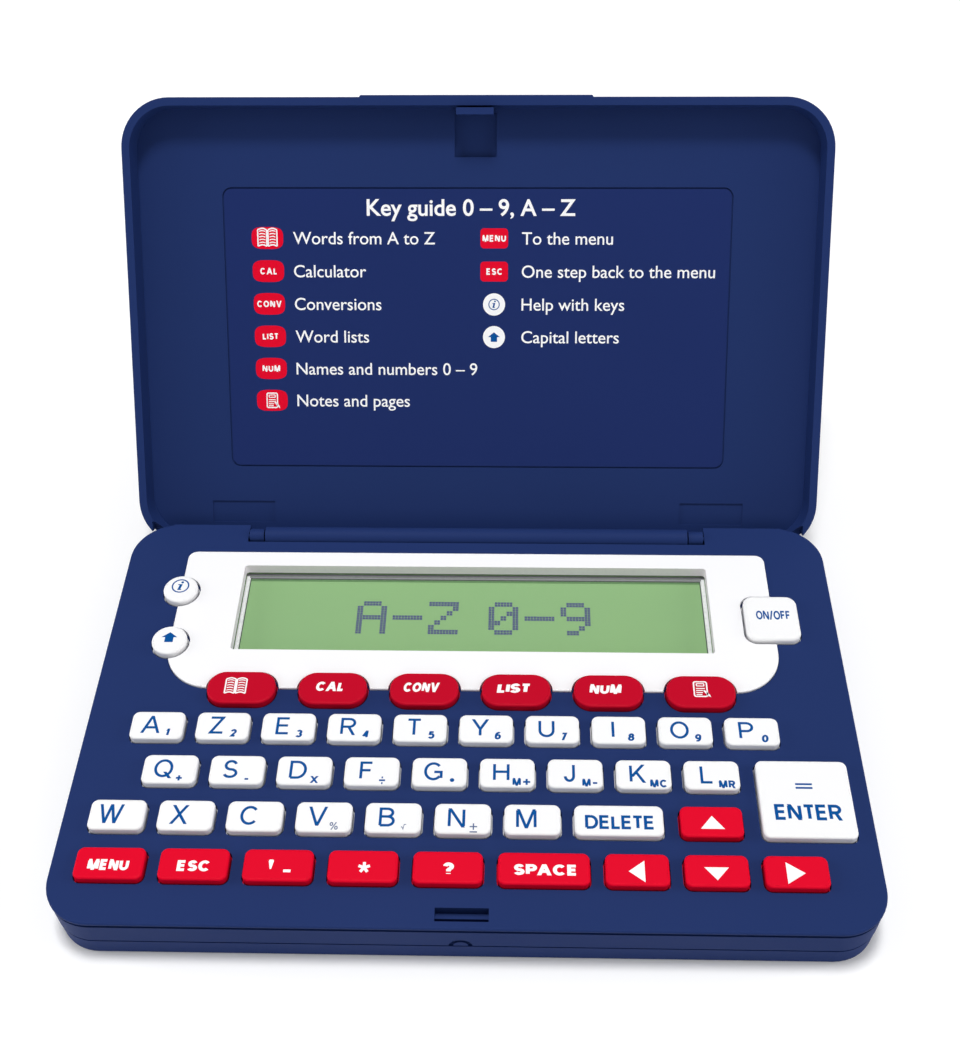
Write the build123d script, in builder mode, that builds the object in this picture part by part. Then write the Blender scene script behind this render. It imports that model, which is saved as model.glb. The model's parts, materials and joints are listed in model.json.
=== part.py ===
"""Electronic dictionary: a shallow keyboard base and a tray-shaped lid on a rear hinge.

Frame: +X to the right, -Y to the front edge, +Z up. The origin is on the flat underside, in
the middle of the base. The lid is drawn resting open on its stop.
"""

from dataclasses import dataclass
from math import cos, radians, sin, tan
import os

from build123d import *

os.makedirs("parts", exist_ok=True)

# ---------------------------------------------------------------- driving dimensions (mm)

# Key field, laid out from the left-hand end of the bottom row and from the front edge
left_margin = 4.35
right_margin = 3.22
front_margin = 10.15
row_pitch = 9.0
letter_pitch = 11.52
letter_key_width = 9.3
letter_key_depth = 5.75
letter_key_corner = 1.2
top_row_start = 8.57
middle_row_start = 12.34
lower_row_start = 5.06
delete_key_gap = 2.25
delete_key_width = 14.7
up_key_gap = 2.75
arrow_key_width = 10.3
bottom_row_key_width = 11.28
bottom_row_gap = 2.44
space_key_width = 14.8
enter_key_width = 15.45
enter_key_depth = 14.9
enter_key_gap = 3.15

# Oval function keys and the keys beside the screen
oval_key_width = 12.25
oval_key_depth = 7.0
oval_key_corner = 3.2
oval_row_inset = 8.8
oval_row_offset = 8.4
side_key_diameter = 6.5
side_key_inset = 0.1
info_key_drop = 10.35
side_key_spacing = 12.4
power_key_width = 10.0
power_key_depth = 10.5
power_key_corner = 2.0
power_key_inset = 0.35
power_key_drop = 16.2

# Key section
key_rise = 1.3
key_edge_radius = 0.4
power_edge_radius = 0.7
key_flange = 0.55
key_flange_thickness = 0.6
key_travel = 0.8
key_hole_clearance = 0.25
key_stop_gap = 0.1

# Screen fascia, its opening and the display behind it
fascia_side_margin = 11.55
fascia_depth = 32.8
fascia_over_ovals = 0.53
fascia_rear_corner = 1.7
fascia_front_corner = 8.8
fascia_rise = 0.4
fascia_seat_depth = 0.6
fascia_fit = 0.12
fascia_key_gap = 0.45
rear_margin = 7.62
screen_side_margin = 11.45
screen_depth = 20.6
screen_rear_margin = 3.55
screen_corner = 0.6
skirt_wall = 0.8
skirt_depth = 1.7
lens_thickness = 0.8
lens_lap = 0.5
module_border = 2.8
module_thickness = 1.4
active_inset = 0.6
active_recess = 0.12
rib_wall = 1.0
seat_clearance = 0.1

# Base mouldings
base_height = 10.5
deck_wall = 1.4
case_wall = 1.5
floor_wall = 1.4
front_corner_radius = 8.0
rear_corner_radius = 8.6
deck_edge_thickness = 0.55
deck_edge_radius = 0.3
shadow_groove_height = 0.8
shadow_groove_depth = 0.8
band_inset = 0.1
band_draft = 1.5
parting_height = 4.6
parting_groove_height = 0.4
parting_groove_depth = 0.45
lower_step = 0.05
lower_draft = 3.0
bottom_edge_radius = 0.5

# Hinge
hinge_setback = 2.5
hinge_drop = 0.7
opening_angle = 124.6
tongue_side_margin = 22.8
lug_width = 2.8
lug_groove = 0.3
barrel_radius = 1.9
lug_radius = 1.5
pin_radius = 0.5
pin_length = 2.6
pin_running_clearance = 0.04
hinge_end_gap = 0.3
hinge_gap = 0.3
knuckle_end_margin = 2.9

# Lid
lid_side_inset = 0.5
lid_front_inset = 0.05
lid_height = 6.3
lid_gap = 0.2
lid_wall = 1.5
lid_draft = 3.0
lid_corner_radius = 9.4
lid_edge_radius = 1.6
tray_depth = 4.7
tray_draft = 3.0
tray_floor_radius = 0.6
thumb_lip_width = 43.6
thumb_lip_rise = 0.35
thumb_lip_height = 2.4
mould_pad_width = 12.6
mould_pad_depth = 4.4
mould_pad_side_margin = 20.5
mould_pad_y = 3.9
mould_pad_recess = 0.3

# Legend plate in the lid
plate_side_margin = 18.2
plate_depth = 53.9
plate_corner = 1.5
plate_thickness = 0.45
plate_seat = 0.3
plate_gap = 0.3
plate_from_hinge = 13.5

# Latch
latch_x = -0.2
latch_slot_width = 8.6
latch_slot_depth = 2.35
latch_from_front = 2.5
hook_width = 7.0
hook_thickness = 1.0
hook_reach = 1.0
hook_barb = 0.25
hook_barb_height = 0.7
hook_window_width = 8.0
hook_window_depth = 8.2
hook_window_recess = 0.9
latch_pocket_depth = 1.9
latch_pocket_wall = 0.7
latch_ridge_width = 0.5
latch_ridge_height = 0.9
thumb_notch_x = -0.4
thumb_notch_radius = 1.9
thumb_notch_depth = 0.9
thumb_notch_core = 1.2

# Fixings, board, key mat and cells
screw_boss_radius = 2.25
screw_pilot_radius = 0.8
screw_shank_radius = 0.9
screw_hole_radius = 1.05
screw_head_radius = 1.75
screw_head_height = 1.2
screw_sink_radius = 2.0
screw_sink_depth = 1.7
screw_bite = 2.8
screw_drive_width = 0.5
screw_drive_length = 2.0
screw_drive_depth = 0.6
front_screw_inset = (8.5, 3.6)
middle_screw_inset = (4.9, 38.8)
rear_screw_inset = (5.6, 10.0)
board_height = 5.0
board_thickness = 1.0
board_post_radius = 1.5
board_edge_gap = 1.4
board_boss_gap = 1.0
mat_thickness = 0.6
dome_width = 4.4
dome_draft = 20.0
dome_gap = 0.05
chip_radius = 4.0
chip_height = 1.0
crystal_length = 8.0
crystal_radius = 1.0
cell_radius = 10.0
cell_thickness = 3.2
cell_can_step = 0.4
cell_gap = 1.2
cell_side_room = 1.4
cell_end_room = 0.8
bay_wall = 1.0
bay_roof = 0.6
cell_rest_height = 1.25
contact_thickness = 0.3
contact_width = 5.0
contact_touch = 0.04
cover_thickness = 1.05
cover_gap = 0.2
cover_inset = 0.05
cover_lap = 1.6
cover_rail = 0.8
cover_rail_thickness = 0.45
cover_grip_count = 5
cover_grip_width = 14.0
cover_grip_pitch = 1.6
cover_grip_depth = 0.3

# ---------------------------------------------------------------- derived places

lower_row_length = (lower_row_start + 6 * letter_pitch + letter_key_width / 2 + delete_key_gap
                    + delete_key_width + up_key_gap + arrow_key_width + enter_key_gap + enter_key_width)
base_width = left_margin + lower_row_length + right_margin
letter_rows_depth = 3 * row_pitch
base_depth = (front_margin + letter_rows_depth + oval_row_offset + fascia_over_ovals
              + fascia_depth + rear_margin)
front_y = -base_depth / 2
rear_y = base_depth / 2
left_x = -base_width / 2 + left_margin

bottom_row_y = front_y + front_margin
lower_row_y = bottom_row_y + row_pitch
middle_row_y = lower_row_y + row_pitch
top_row_y = middle_row_y + row_pitch
oval_row_y = top_row_y + oval_row_offset

fascia_width = base_width - 2 * fascia_side_margin
fascia_front_y = oval_row_y + fascia_over_ovals
fascia_rear_y = fascia_front_y + fascia_depth
fascia_y = (fascia_front_y + fascia_rear_y) / 2
screen_width = fascia_width - 2 * screen_side_margin
screen_y = fascia_rear_y - screen_rear_margin - screen_depth / 2
oval_pitch = (fascia_width - 2 * oval_row_inset - oval_key_width) / 5
side_key_x = fascia_width / 2 - side_key_inset
power_key_x = fascia_width / 2 - power_key_inset

deck_z = base_height
deck_underside = deck_z - deck_wall
band_top = deck_z - deck_edge_thickness - shadow_groove_height
fascia_seat_z = deck_z - fascia_seat_depth
skirt_bottom = deck_z - skirt_depth
module_top = skirt_bottom - lens_thickness
module_bottom = module_top - module_thickness
flange_top = deck_underside - key_stop_gap
flange_bottom = flange_top - key_flange_thickness
board_top = board_height + board_thickness
mat_top = board_top + mat_thickness

hinge_y = rear_y - hinge_setback
hinge_z = deck_z - hinge_drop
cavity_rear_y = fascia_rear_y + fascia_fit + seat_clearance + rib_wall / 2
tongue_half_width = base_width / 2 - tongue_side_margin
knuckle_end = base_width / 2 - knuckle_end_margin
rim_offset = hinge_drop + lid_gap
lid_width = base_width - 2 * lid_side_inset
lid_free_edge = hinge_y - front_y - lid_front_inset
roof_offset = rim_offset + tray_depth
latch_y = front_y + latch_from_front
latch_floor_z = deck_z - latch_pocket_depth
ear_inner_x = tongue_half_width + hinge_end_gap
barrel_half_width = tongue_half_width - lug_width - lug_groove
lid_rear = hinge_setback
mould_pad_x = base_width / 2 - mould_pad_side_margin
plate_width = lid_width - 2 * plate_side_margin

bay_width = 4 * cell_radius + cell_gap + 2 * cell_side_room
bay_depth = 2 * cell_radius + 2 * cell_end_room
bay_ceiling = cell_rest_height + cell_thickness + seat_clearance / 2
bay_top = bay_ceiling + bay_roof
bay_y = screen_y
cell_x = cell_radius + cell_gap / 2
cover_width = bay_width + 2 * cover_lap
cover_front_y = bay_y - bay_depth / 2 - cover_lap
cover_top = cover_inset + cover_thickness
display_rest = module_bottom - seat_clearance
board_post_pitch = 3 * letter_pitch
board_post_places = [
    (side * board_post_pitch, y)
    for y in (bottom_row_y, top_row_y)
    for side in (-1, 0, 1)
]

screw_places = [
    (side * (base_width / 2 - inset_x), y)
    for inset_x, y in (
        (front_screw_inset[0], front_y + front_screw_inset[1]),
        (middle_screw_inset[0], front_y + middle_screw_inset[1]),
        (rear_screw_inset[0], rear_y - rear_screw_inset[1]),
    )
    for side in (-1, 1)
]

# Hinge planes: local x runs to the rear, local y up, and the plane's normal is +X
hinge_section = Plane(origin=(0, hinge_y, hinge_z), x_dir=(0, 1, 0), z_dir=(1, 0, 0))
lid_plane = Plane(
    origin=(0, hinge_y, hinge_z),
    x_dir=(1, 0, 0),
    z_dir=(0, sin(radians(opening_angle)), cos(radians(opening_angle))),
)
lid_section = Plane(origin=lid_plane.origin, x_dir=lid_plane.y_dir, z_dir=(1, 0, 0))
lid_axis = Axis(lid_plane.origin, lid_plane.z_dir)


# ---------------------------------------------------------------- keys

@dataclass
class Key:
    """One key: its name, centre, plan size and corner radius (None for a round key)."""

    name: str
    x: float
    y: float
    width: float
    depth: float
    corner: float | None
    edge_radius: float = key_edge_radius


def letter_row(letters, start, y):
    """Letter keys of one row, spaced by the letter pitch from the left-hand end."""
    return [
        Key(f"key_{letter}", left_x + start + index * letter_pitch, y,
            letter_key_width, letter_key_depth, letter_key_corner)
        for index, letter in enumerate(letters)
    ]


def run_of_keys(sizes, left, y, gap):
    """Keys set side by side from a left-hand edge, each as (name, width)."""
    run = []
    for name, width in sizes:
        run.append(Key(f"key_{name}", left + width / 2, y, width, letter_key_depth, letter_key_corner))
        left += width + gap
    return run


def oval_row(names):
    """Oval function keys, centred on the base."""
    first = -(len(names) - 1) * oval_pitch / 2
    return [
        Key(f"key_{name}", first + index * oval_pitch, oval_row_y,
            oval_key_width, oval_key_depth, oval_key_corner)
        for index, name in enumerate(names)
    ]


def all_keys():
    """Every key of the keyboard, in reading order."""
    keys = oval_row(["book", "f2", "f3", "f4", "f5", "notes"])
    info_y = fascia_rear_y - info_key_drop
    keys.append(Key("key_info", -side_key_x, info_y, side_key_diameter, side_key_diameter, None))
    keys.append(Key("key_shift", -side_key_x, info_y - side_key_spacing,
                    side_key_diameter, side_key_diameter, None))
    keys.append(Key("key_power", power_key_x, fascia_rear_y - power_key_drop,
                    power_key_width, power_key_depth, power_key_corner, power_edge_radius))
    keys += letter_row("azertyuiop", top_row_start, top_row_y)
    keys += letter_row("qsdfghjkl", middle_row_start, middle_row_y)
    lower_row = letter_row("wxcvbnm", lower_row_start, lower_row_y)
    keys += lower_row
    delete_left = lower_row[-1].x + letter_key_width / 2 + delete_key_gap
    edit_keys = run_of_keys([("delete", delete_key_width), ("up", arrow_key_width)],
                            delete_left, lower_row_y, up_key_gap)
    keys += edit_keys
    enter_left = edit_keys[-1].x + arrow_key_width / 2 + enter_key_gap
    enter_front = lower_row_y - letter_key_depth / 2
    keys.append(Key("key_enter", enter_left + enter_key_width / 2, enter_front + enter_key_depth / 2,
                    enter_key_width, enter_key_depth, letter_key_corner))
    signs = [(name, bottom_row_key_width)
             for name in ("control", "escape", "apostrophe", "star", "question")]
    arrows = [(name, arrow_key_width) for name in ("left", "down", "right")]
    keys += run_of_keys(signs + [("space", space_key_width)] + arrows,
                        left_x, bottom_row_y, bottom_row_gap)
    return keys


def key_outline(key, margin=0.0, mode=Mode.ADD):
    """Draws a key's plan outline, grown by a margin, about the present location."""
    if key.corner is None:
        Circle(key.width / 2 + margin, mode=mode)
    else:
        RectangleRounded(key.width + 2 * margin, key.depth + 2 * margin, key.corner + margin, mode=mode)


def key_outlines(chosen, margin, mode=Mode.ADD):
    """Draws the outlines of several keys in one sketch on a horizontal plane."""
    for key in chosen:
        with Locations((key.x, key.y)):
            key_outline(key, margin, mode)


def build_key(key):
    """Moulds one key: a cap with a soft top edge on a flange that the deck retains."""
    with BuildPart() as body:
        with BuildSketch(Plane(origin=(key.x, key.y, flange_bottom))):
            key_outline(key, key_flange)
        extrude(amount=key_flange_thickness)
        with BuildSketch(Plane(origin=(key.x, key.y, flange_top))):
            key_outline(key)
        extrude(amount=deck_z + key_rise - flange_top)
        fillet(body.faces().sort_by(Axis.Z)[-1].edges(), key.edge_radius)
    return body.part


keys = all_keys()
fascia_keys = [key for key in keys if key.y + key.depth / 2 > fascia_front_y]


# ---------------------------------------------------------------- plan outlines

def case_outline(inset):
    """Draws the base's plan outline, brought in all round by an inset."""
    Rectangle(base_width - 2 * inset, base_depth - 2 * inset)
    fillet(vertices().group_by(Axis.Y)[0], front_corner_radius - inset)
    fillet(vertices().group_by(Axis.Y)[-1], rear_corner_radius - inset)


def lid_outline(inset):
    """Draws the lid's plan outline on the lid plane, brought in all round by an inset."""
    with Locations((0, (lid_rear - lid_free_edge) / 2)):
        RectangleRounded(lid_width - 2 * inset, lid_free_edge + lid_rear - 2 * inset,
                         lid_corner_radius - inset)


def fascia_outline(margin=0.0):
    """Draws the fascia's outline: small rear corners and large front corners."""
    Rectangle(fascia_width + 2 * margin, fascia_depth + 2 * margin)
    fillet(vertices().group_by(Axis.Y)[0], fascia_front_corner + margin)
    fillet(vertices().group_by(Axis.Y)[-1], fascia_rear_corner + margin)


def screen_outline(margin, mode=Mode.ADD):
    """Draws the screen opening, grown by a margin, about the present location."""
    RectangleRounded(screen_width + 2 * margin, screen_depth + 2 * margin,
                     max(screen_corner + margin, screen_corner / 2), mode=mode)


def lid_swing_outline():
    """Draws the space that the lid's rear wall swings through, down to the sloping stop face."""
    normal = (cos(radians(opening_angle)), -sin(radians(opening_angle)))
    slope = (-normal[1], normal[0])
    reach = hinge_setback + hinge_gap
    foot = (normal[0] * reach, normal[1] * reach)
    run = 2 * lid_height
    end = (foot[0] + slope[0] * run, foot[1] + slope[1] * run)
    above = hinge_drop + lid_gap
    Polygon((0, 0), foot, end, (end[0], above), (0, above), align=None)


def cut_hinge_space():
    """Cuts the rear of a base moulding: the barrel's notch in the middle and the ears' undercut."""
    with BuildSketch(hinge_section.offset(-ear_inner_x)) as notch:
        lid_swing_outline()
        Circle(barrel_radius + hinge_gap)
    extrude(notch.sketch, amount=2 * ear_inner_x, mode=Mode.SUBTRACT)
    for side in (-1, 1):
        with BuildSketch(hinge_section.offset(side * ear_inner_x)) as undercut:
            lid_swing_outline()
            Circle(hinge_setback, mode=Mode.SUBTRACT)
        extrude(undercut.sketch, amount=side * base_width / 2, mode=Mode.SUBTRACT)


# ---------------------------------------------------------------- upper case

with BuildPart() as upper_case:
    band_height = band_top - parting_height
    parting_inset = band_inset + band_height * tan(radians(band_draft))
    with BuildSketch(Plane.XY.offset(parting_height)):
        case_outline(parting_inset)
    extrude(amount=band_height, taper=-band_draft)
    with BuildSketch(Plane.XY.offset(band_top)):
        case_outline(shadow_groove_depth + band_inset)
    extrude(amount=shadow_groove_height)
    with BuildSketch(Plane.XY.offset(band_top + shadow_groove_height)):
        case_outline(0)
    extrude(amount=deck_edge_thickness)
    fillet(upper_case.faces().sort_by(Axis.Z)[-1].edges(), deck_edge_radius)
    # Knuckles that roll the rear edge over between the hinge ears and the corners
    for side in (-1, 1):
        with BuildSketch(hinge_section.offset(side * ear_inner_x)):
            Circle(hinge_setback)
            with Locations((0, hinge_drop + hinge_setback)):
                Rectangle(2 * hinge_setback, 2 * hinge_setback, mode=Mode.SUBTRACT)
        extrude(amount=side * (knuckle_end - ear_inner_x - rear_corner_radius / 2))
    # Cavity under the deck
    with BuildSketch(Plane.XY.offset(parting_height)):
        case_outline(parting_inset + case_wall)
        with Locations((0, cavity_rear_y)):
            Rectangle(base_width, base_depth, align=(Align.CENTER, Align.MIN), mode=Mode.SUBTRACT)
    extrude(amount=deck_underside - parting_height, mode=Mode.SUBTRACT)
    # Rib frame that holds the lens, and the screw bosses
    with BuildSketch(Plane(origin=(0, screen_y, module_top))):
        screen_outline(lens_lap + seat_clearance + rib_wall)
    extrude(amount=deck_z - deck_wall / 2 - module_top)
    with BuildSketch(Plane.XY.offset(parting_height)):
        with Locations(*screw_places):
            Circle(screw_boss_radius)
    extrude(amount=deck_underside - parting_height)
    with BuildSketch(Plane.XY.offset(parting_height)):
        with Locations(*screw_places):
            Circle(screw_pilot_radius)
    extrude(amount=screw_bite, mode=Mode.SUBTRACT)
    # Seat of the fascia, screen opening and lens pocket
    with BuildSketch(Plane(origin=(0, fascia_y, fascia_seat_z - fascia_fit))):
        fascia_outline(fascia_fit)
    extrude(amount=deck_wall, mode=Mode.SUBTRACT)
    with BuildSketch(Plane(origin=(0, screen_y, module_top))):
        screen_outline(skirt_wall + fascia_fit)
    extrude(amount=deck_z - module_top, mode=Mode.SUBTRACT)
    # One hole for each key
    with BuildSketch(Plane.XY.offset(deck_underside)):
        key_outlines(keys, key_hole_clearance)
    extrude(amount=2 * deck_wall, mode=Mode.SUBTRACT)
    # Latch pocket with a ridge along its floor, and the half-round notch over the front parting line
    with BuildSketch(Plane(origin=(latch_x, latch_y, latch_floor_z - latch_pocket_wall))):
        Rectangle(latch_slot_width + 2 * latch_pocket_wall, latch_slot_depth + 2 * latch_pocket_wall)
    extrude(amount=deck_underside - latch_floor_z + latch_pocket_wall)
    with BuildSketch(Plane(origin=(latch_x, latch_y, latch_floor_z))):
        Rectangle(latch_slot_width, latch_slot_depth)
    extrude(amount=latch_pocket_depth, mode=Mode.SUBTRACT)
    with BuildSketch(Plane(origin=(latch_x, latch_y, latch_floor_z))):
        Rectangle(latch_slot_width, latch_ridge_width)
    extrude(amount=latch_ridge_height)
    with BuildSketch(Plane(origin=(thumb_notch_x, front_y, parting_height), x_dir=(1, 0, 0), z_dir=(0, -1, 0))):
        Circle(thumb_notch_radius)
        Circle(thumb_notch_core, mode=Mode.SUBTRACT)
    extrude(amount=-(thumb_notch_depth + parting_inset), mode=Mode.SUBTRACT)
    # Bores in the ears for the lid's stub pins
    for side in (-1, 1):
        with BuildSketch(hinge_section.offset(side * ear_inner_x)):
            Circle(pin_radius + pin_running_clearance)
        extrude(amount=side * (pin_length + hinge_end_gap), mode=Mode.SUBTRACT)
    cut_hinge_space()

upper_case.part.label = "upper_case"
export_step(upper_case.part, "parts/upper_case.step")


# ---------------------------------------------------------------- lower case

def cover_outline(margin):
    """Draws the battery cover's outline, which runs out through the rear edge of the base."""
    with Locations((0, cover_front_y - margin)):
        Rectangle(cover_width + 2 * margin, rear_y - cover_front_y + margin,
                  align=(Align.CENTER, Align.MIN))


with BuildPart() as lower_case:
    lower_inset = parting_inset + lower_step
    bottom_inset = lower_inset + (parting_height - parting_groove_height) * tan(radians(lower_draft))
    rebate_bottom = parting_height - parting_groove_height
    with BuildSketch(Plane.XY):
        case_outline(bottom_inset)
    extrude(amount=rebate_bottom, taper=-lower_draft)
    fillet(lower_case.faces().sort_by(Axis.Z)[0].edges(), bottom_edge_radius)
    with BuildSketch(Plane.XY.offset(rebate_bottom)):
        case_outline(lower_inset + parting_groove_depth)
    extrude(amount=parting_groove_height)
    with BuildSketch(Plane.XY.offset(floor_wall)):
        case_outline(bottom_inset + case_wall)
        with Locations((0, cavity_rear_y)):
            Rectangle(base_width, base_depth, align=(Align.CENTER, Align.MIN), mode=Mode.SUBTRACT)
    extrude(amount=parting_height, mode=Mode.SUBTRACT)
    # Battery bay, open below, with ribs on its roof that carry the display
    with BuildSketch(Plane(origin=(0, bay_y, 0))):
        Rectangle(bay_width + 2 * bay_wall, bay_depth + 2 * bay_wall)
    extrude(amount=bay_top)
    with BuildSketch(Plane(origin=(0, bay_y, bay_top))):
        with GridLocations(0, bay_depth / 2, 1, 2):
            Rectangle(bay_width, bay_wall)
    extrude(amount=display_rest - bay_top)
    # Posts that the board rests on, and the screw bosses
    with BuildSketch(Plane.XY):
        with Locations(*board_post_places):
            Circle(board_post_radius)
    extrude(amount=board_height)
    with BuildSketch(Plane.XY):
        with Locations(*screw_places):
            Circle(screw_boss_radius)
    extrude(amount=parting_height)
    with BuildSketch(Plane(origin=(0, bay_y, 0))):
        Rectangle(bay_width, bay_depth)
    extrude(amount=bay_ceiling, mode=Mode.SUBTRACT)
    # Recess that the battery cover slides in, with a groove for each of its rails
    with BuildSketch(Plane.XY):
        cover_outline(cover_gap)
    extrude(amount=cover_top + cover_gap, mode=Mode.SUBTRACT)
    with BuildSketch(Plane.XY.offset(cover_top - cover_rail_thickness - cover_gap)):
        cover_outline(cover_gap + cover_rail)
    extrude(amount=cover_rail_thickness + 2 * cover_gap, mode=Mode.SUBTRACT)
    # Sunk screw seats
    with BuildSketch(Plane.XY):
        with Locations(*screw_places):
            Circle(screw_sink_radius)
    extrude(amount=screw_sink_depth, mode=Mode.SUBTRACT)
    with BuildSketch(Plane.XY):
        with Locations(*screw_places):
            Circle(screw_hole_radius)
    extrude(amount=parting_height, mode=Mode.SUBTRACT)
    cut_hinge_space()

lower_case.part.label = "lower_case"
export_step(lower_case.part, "parts/lower_case.step")


# ---------------------------------------------------------------- battery cover, cells and contacts

with BuildPart() as battery_cover:
    with BuildSketch(Plane.XY.offset(cover_inset)):
        cover_outline(0)
        fillet(vertices().group_by(Axis.Y)[0], cover_rail)
    extrude(amount=cover_thickness)
    with BuildSketch(Plane.XY.offset(cover_top - cover_rail_thickness)):
        with Locations((0, bay_y)):
            Rectangle(cover_width + 2 * cover_rail, bay_depth)
    extrude(amount=cover_rail_thickness)
    # Trim to the base's rear edge, and finger ribs
    with BuildSketch(Plane.XY.offset(cover_inset)):
        with Locations((0, rear_y - bottom_inset)):
            Rectangle(base_width, base_depth, align=(Align.CENTER, Align.MIN))
    extrude(amount=cover_thickness, mode=Mode.SUBTRACT)
    with BuildSketch(Plane(origin=(0, bay_y, cover_inset))):
        with GridLocations(0, cover_grip_pitch, 1, cover_grip_count):
            SlotOverall(cover_grip_width, cover_grip_pitch / 2)
    extrude(amount=cover_grip_depth, mode=Mode.SUBTRACT)

battery_cover.part.label = "battery_cover"
export_step(battery_cover.part, "parts/battery_cover.step")

with BuildPart() as coin_cells:
    with BuildSketch(Plane(origin=(0, bay_y, cell_rest_height))):
        with Locations((-cell_x, 0), (cell_x, 0)):
            Circle(cell_radius - cell_can_step)
    extrude(amount=cell_thickness)
    with BuildSketch(Plane(origin=(0, bay_y, cell_rest_height + cell_can_step))):
        with Locations((-cell_x, 0), (cell_x, 0)):
            Circle(cell_radius)
    extrude(amount=cell_thickness - cell_can_step)

coin_cells.part.label = "coin_cells"
export_step(coin_cells.part, "parts/coin_cells.step")

with BuildPart() as battery_contacts:
    contact_height = cell_thickness - 2 * cell_can_step
    contact_x = cell_x + cell_radius + contact_touch + contact_thickness / 2
    arm_length = cell_side_room - contact_touch - seat_clearance
    arm_x = cell_x + cell_radius + contact_touch + arm_length / 2
    with BuildSketch(Plane(origin=(0, bay_y, cell_rest_height + cell_can_step))):
        with Locations((-contact_x, 0), (0, 0), (contact_x, 0)):
            Rectangle(contact_thickness, contact_width)
        with Locations((-arm_x, contact_width / 2), (arm_x, contact_width / 2)):
            Rectangle(arm_length, contact_thickness)
        Rectangle(cell_gap - 2 * contact_touch, contact_thickness)
    extrude(amount=contact_height)

battery_contacts.part.label = "battery_contacts"
export_step(battery_contacts.part, "parts/battery_contacts.step")


# ---------------------------------------------------------------- board and key mat

def board_outline(edge_gap):
    """Draws the board's outline: the cavity's, less the battery bay and the screw bosses."""
    case_outline(parting_inset + case_wall + edge_gap)
    with Locations((0, bay_y - bay_depth / 2 - bay_wall - edge_gap)):
        Rectangle(module_width + 2 * seat_clearance, base_depth,
                  align=(Align.CENTER, Align.MIN), mode=Mode.SUBTRACT)
    with Locations((0, cavity_rear_y - edge_gap)):
        Rectangle(base_width, base_depth, align=(Align.CENTER, Align.MIN), mode=Mode.SUBTRACT)
    with Locations(*screw_places):
        Circle(screw_boss_radius + board_boss_gap, mode=Mode.SUBTRACT)


module_width = screen_width + 2 * module_border
module_depth = screen_depth + 2 * module_border

with BuildPart() as main_board:
    with BuildSketch(Plane.XY.offset(board_height)):
        board_outline(board_edge_gap)
    extrude(amount=board_thickness)
    # Potted chip and crystal can, hung under the board
    with BuildSketch(Plane(origin=(-letter_pitch, middle_row_y, board_height - chip_height))):
        Circle(chip_radius)
    extrude(amount=chip_height)
    fillet(main_board.faces().sort_by(Axis.Z)[0].edges(), chip_height / 2)
    crystal_plane = Plane(origin=(letter_pitch, middle_row_y, board_height - crystal_radius / 2),
                          x_dir=(0, 1, 0), z_dir=(1, 0, 0))
    with BuildSketch(crystal_plane):
        Circle(crystal_radius)
    extrude(amount=crystal_length)

main_board.part.label = "main_board"
export_step(main_board.part, "parts/main_board.step")

with BuildPart() as key_mat:
    with BuildSketch(Plane.XY.offset(board_top)):
        board_outline(board_edge_gap)
    extrude(amount=mat_thickness)
    dome_height = flange_bottom - dome_gap - mat_top
    with BuildSketch(Plane.XY.offset(mat_top)):
        with Locations(*[(key.x, key.y) for key in keys]):
            Rectangle(dome_width, dome_width)
    extrude(amount=dome_height, taper=dome_draft)

key_mat.part.label = "key_mat"
export_step(key_mat.part, "parts/key_mat.step")


# ---------------------------------------------------------------- display, lens and fascia

with BuildPart() as display_module:
    with BuildSketch(Plane(origin=(0, screen_y, module_bottom))):
        Rectangle(module_width, module_depth)
    extrude(amount=module_thickness)
    with BuildSketch(Plane(origin=(0, screen_y, module_top - active_recess))):
        Rectangle(screen_width - 2 * active_inset, screen_depth - active_inset)
    extrude(amount=active_recess, mode=Mode.SUBTRACT)

display_module.part.label = "display_module"
export_step(display_module.part, "parts/display_module.step")

with BuildPart() as display_lens:
    with BuildSketch(Plane(origin=(0, screen_y, module_top))):
        screen_outline(lens_lap)
    extrude(amount=lens_thickness)

display_lens.part.label = "display_lens"
export_step(display_lens.part, "parts/display_lens.step")

with BuildPart() as screen_fascia:
    with BuildSketch(Plane(origin=(0, fascia_y, fascia_seat_z))):
        fascia_outline()
    extrude(amount=fascia_seat_depth + fascia_rise)
    fillet(screen_fascia.faces().sort_by(Axis.Z)[-1].edges(), fascia_rise / 2)
    with BuildSketch(Plane(origin=(0, screen_y, skirt_bottom))):
        screen_outline(skirt_wall)
    extrude(amount=fascia_seat_z - skirt_bottom)
    with BuildSketch(Plane(origin=(0, screen_y, skirt_bottom))):
        screen_outline(0)
    extrude(amount=skirt_depth + fascia_rise, mode=Mode.SUBTRACT)
    with BuildSketch(Plane.XY.offset(fascia_seat_z)):
        key_outlines(fascia_keys, fascia_key_gap)
    extrude(amount=fascia_seat_depth + fascia_rise, mode=Mode.SUBTRACT)

screen_fascia.part.label = "screen_fascia"
export_step(screen_fascia.part, "parts/screen_fascia.step")


# ---------------------------------------------------------------- case screws

with BuildPart() as case_screws:
    with BuildSketch(Plane.XY.offset(screw_sink_depth - screw_head_height)):
        with Locations(*screw_places):
            Circle(screw_head_radius)
    extrude(amount=screw_head_height)
    with BuildSketch(Plane.XY.offset(screw_sink_depth)):
        with Locations(*screw_places):
            Circle(screw_shank_radius)
    extrude(amount=parting_height + screw_bite - screw_sink_depth - seat_clearance)
    with BuildSketch(Plane.XY.offset(screw_sink_depth - screw_head_height)):
        with Locations(*screw_places):
            Rectangle(screw_drive_length, screw_drive_width)
            Rectangle(screw_drive_width, screw_drive_length)
    extrude(amount=screw_drive_depth, mode=Mode.SUBTRACT)

case_screws.part.label = "case_screws"
export_step(case_screws.part, "parts/case_screws.step")


# ---------------------------------------------------------------- lid and legend plate

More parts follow.
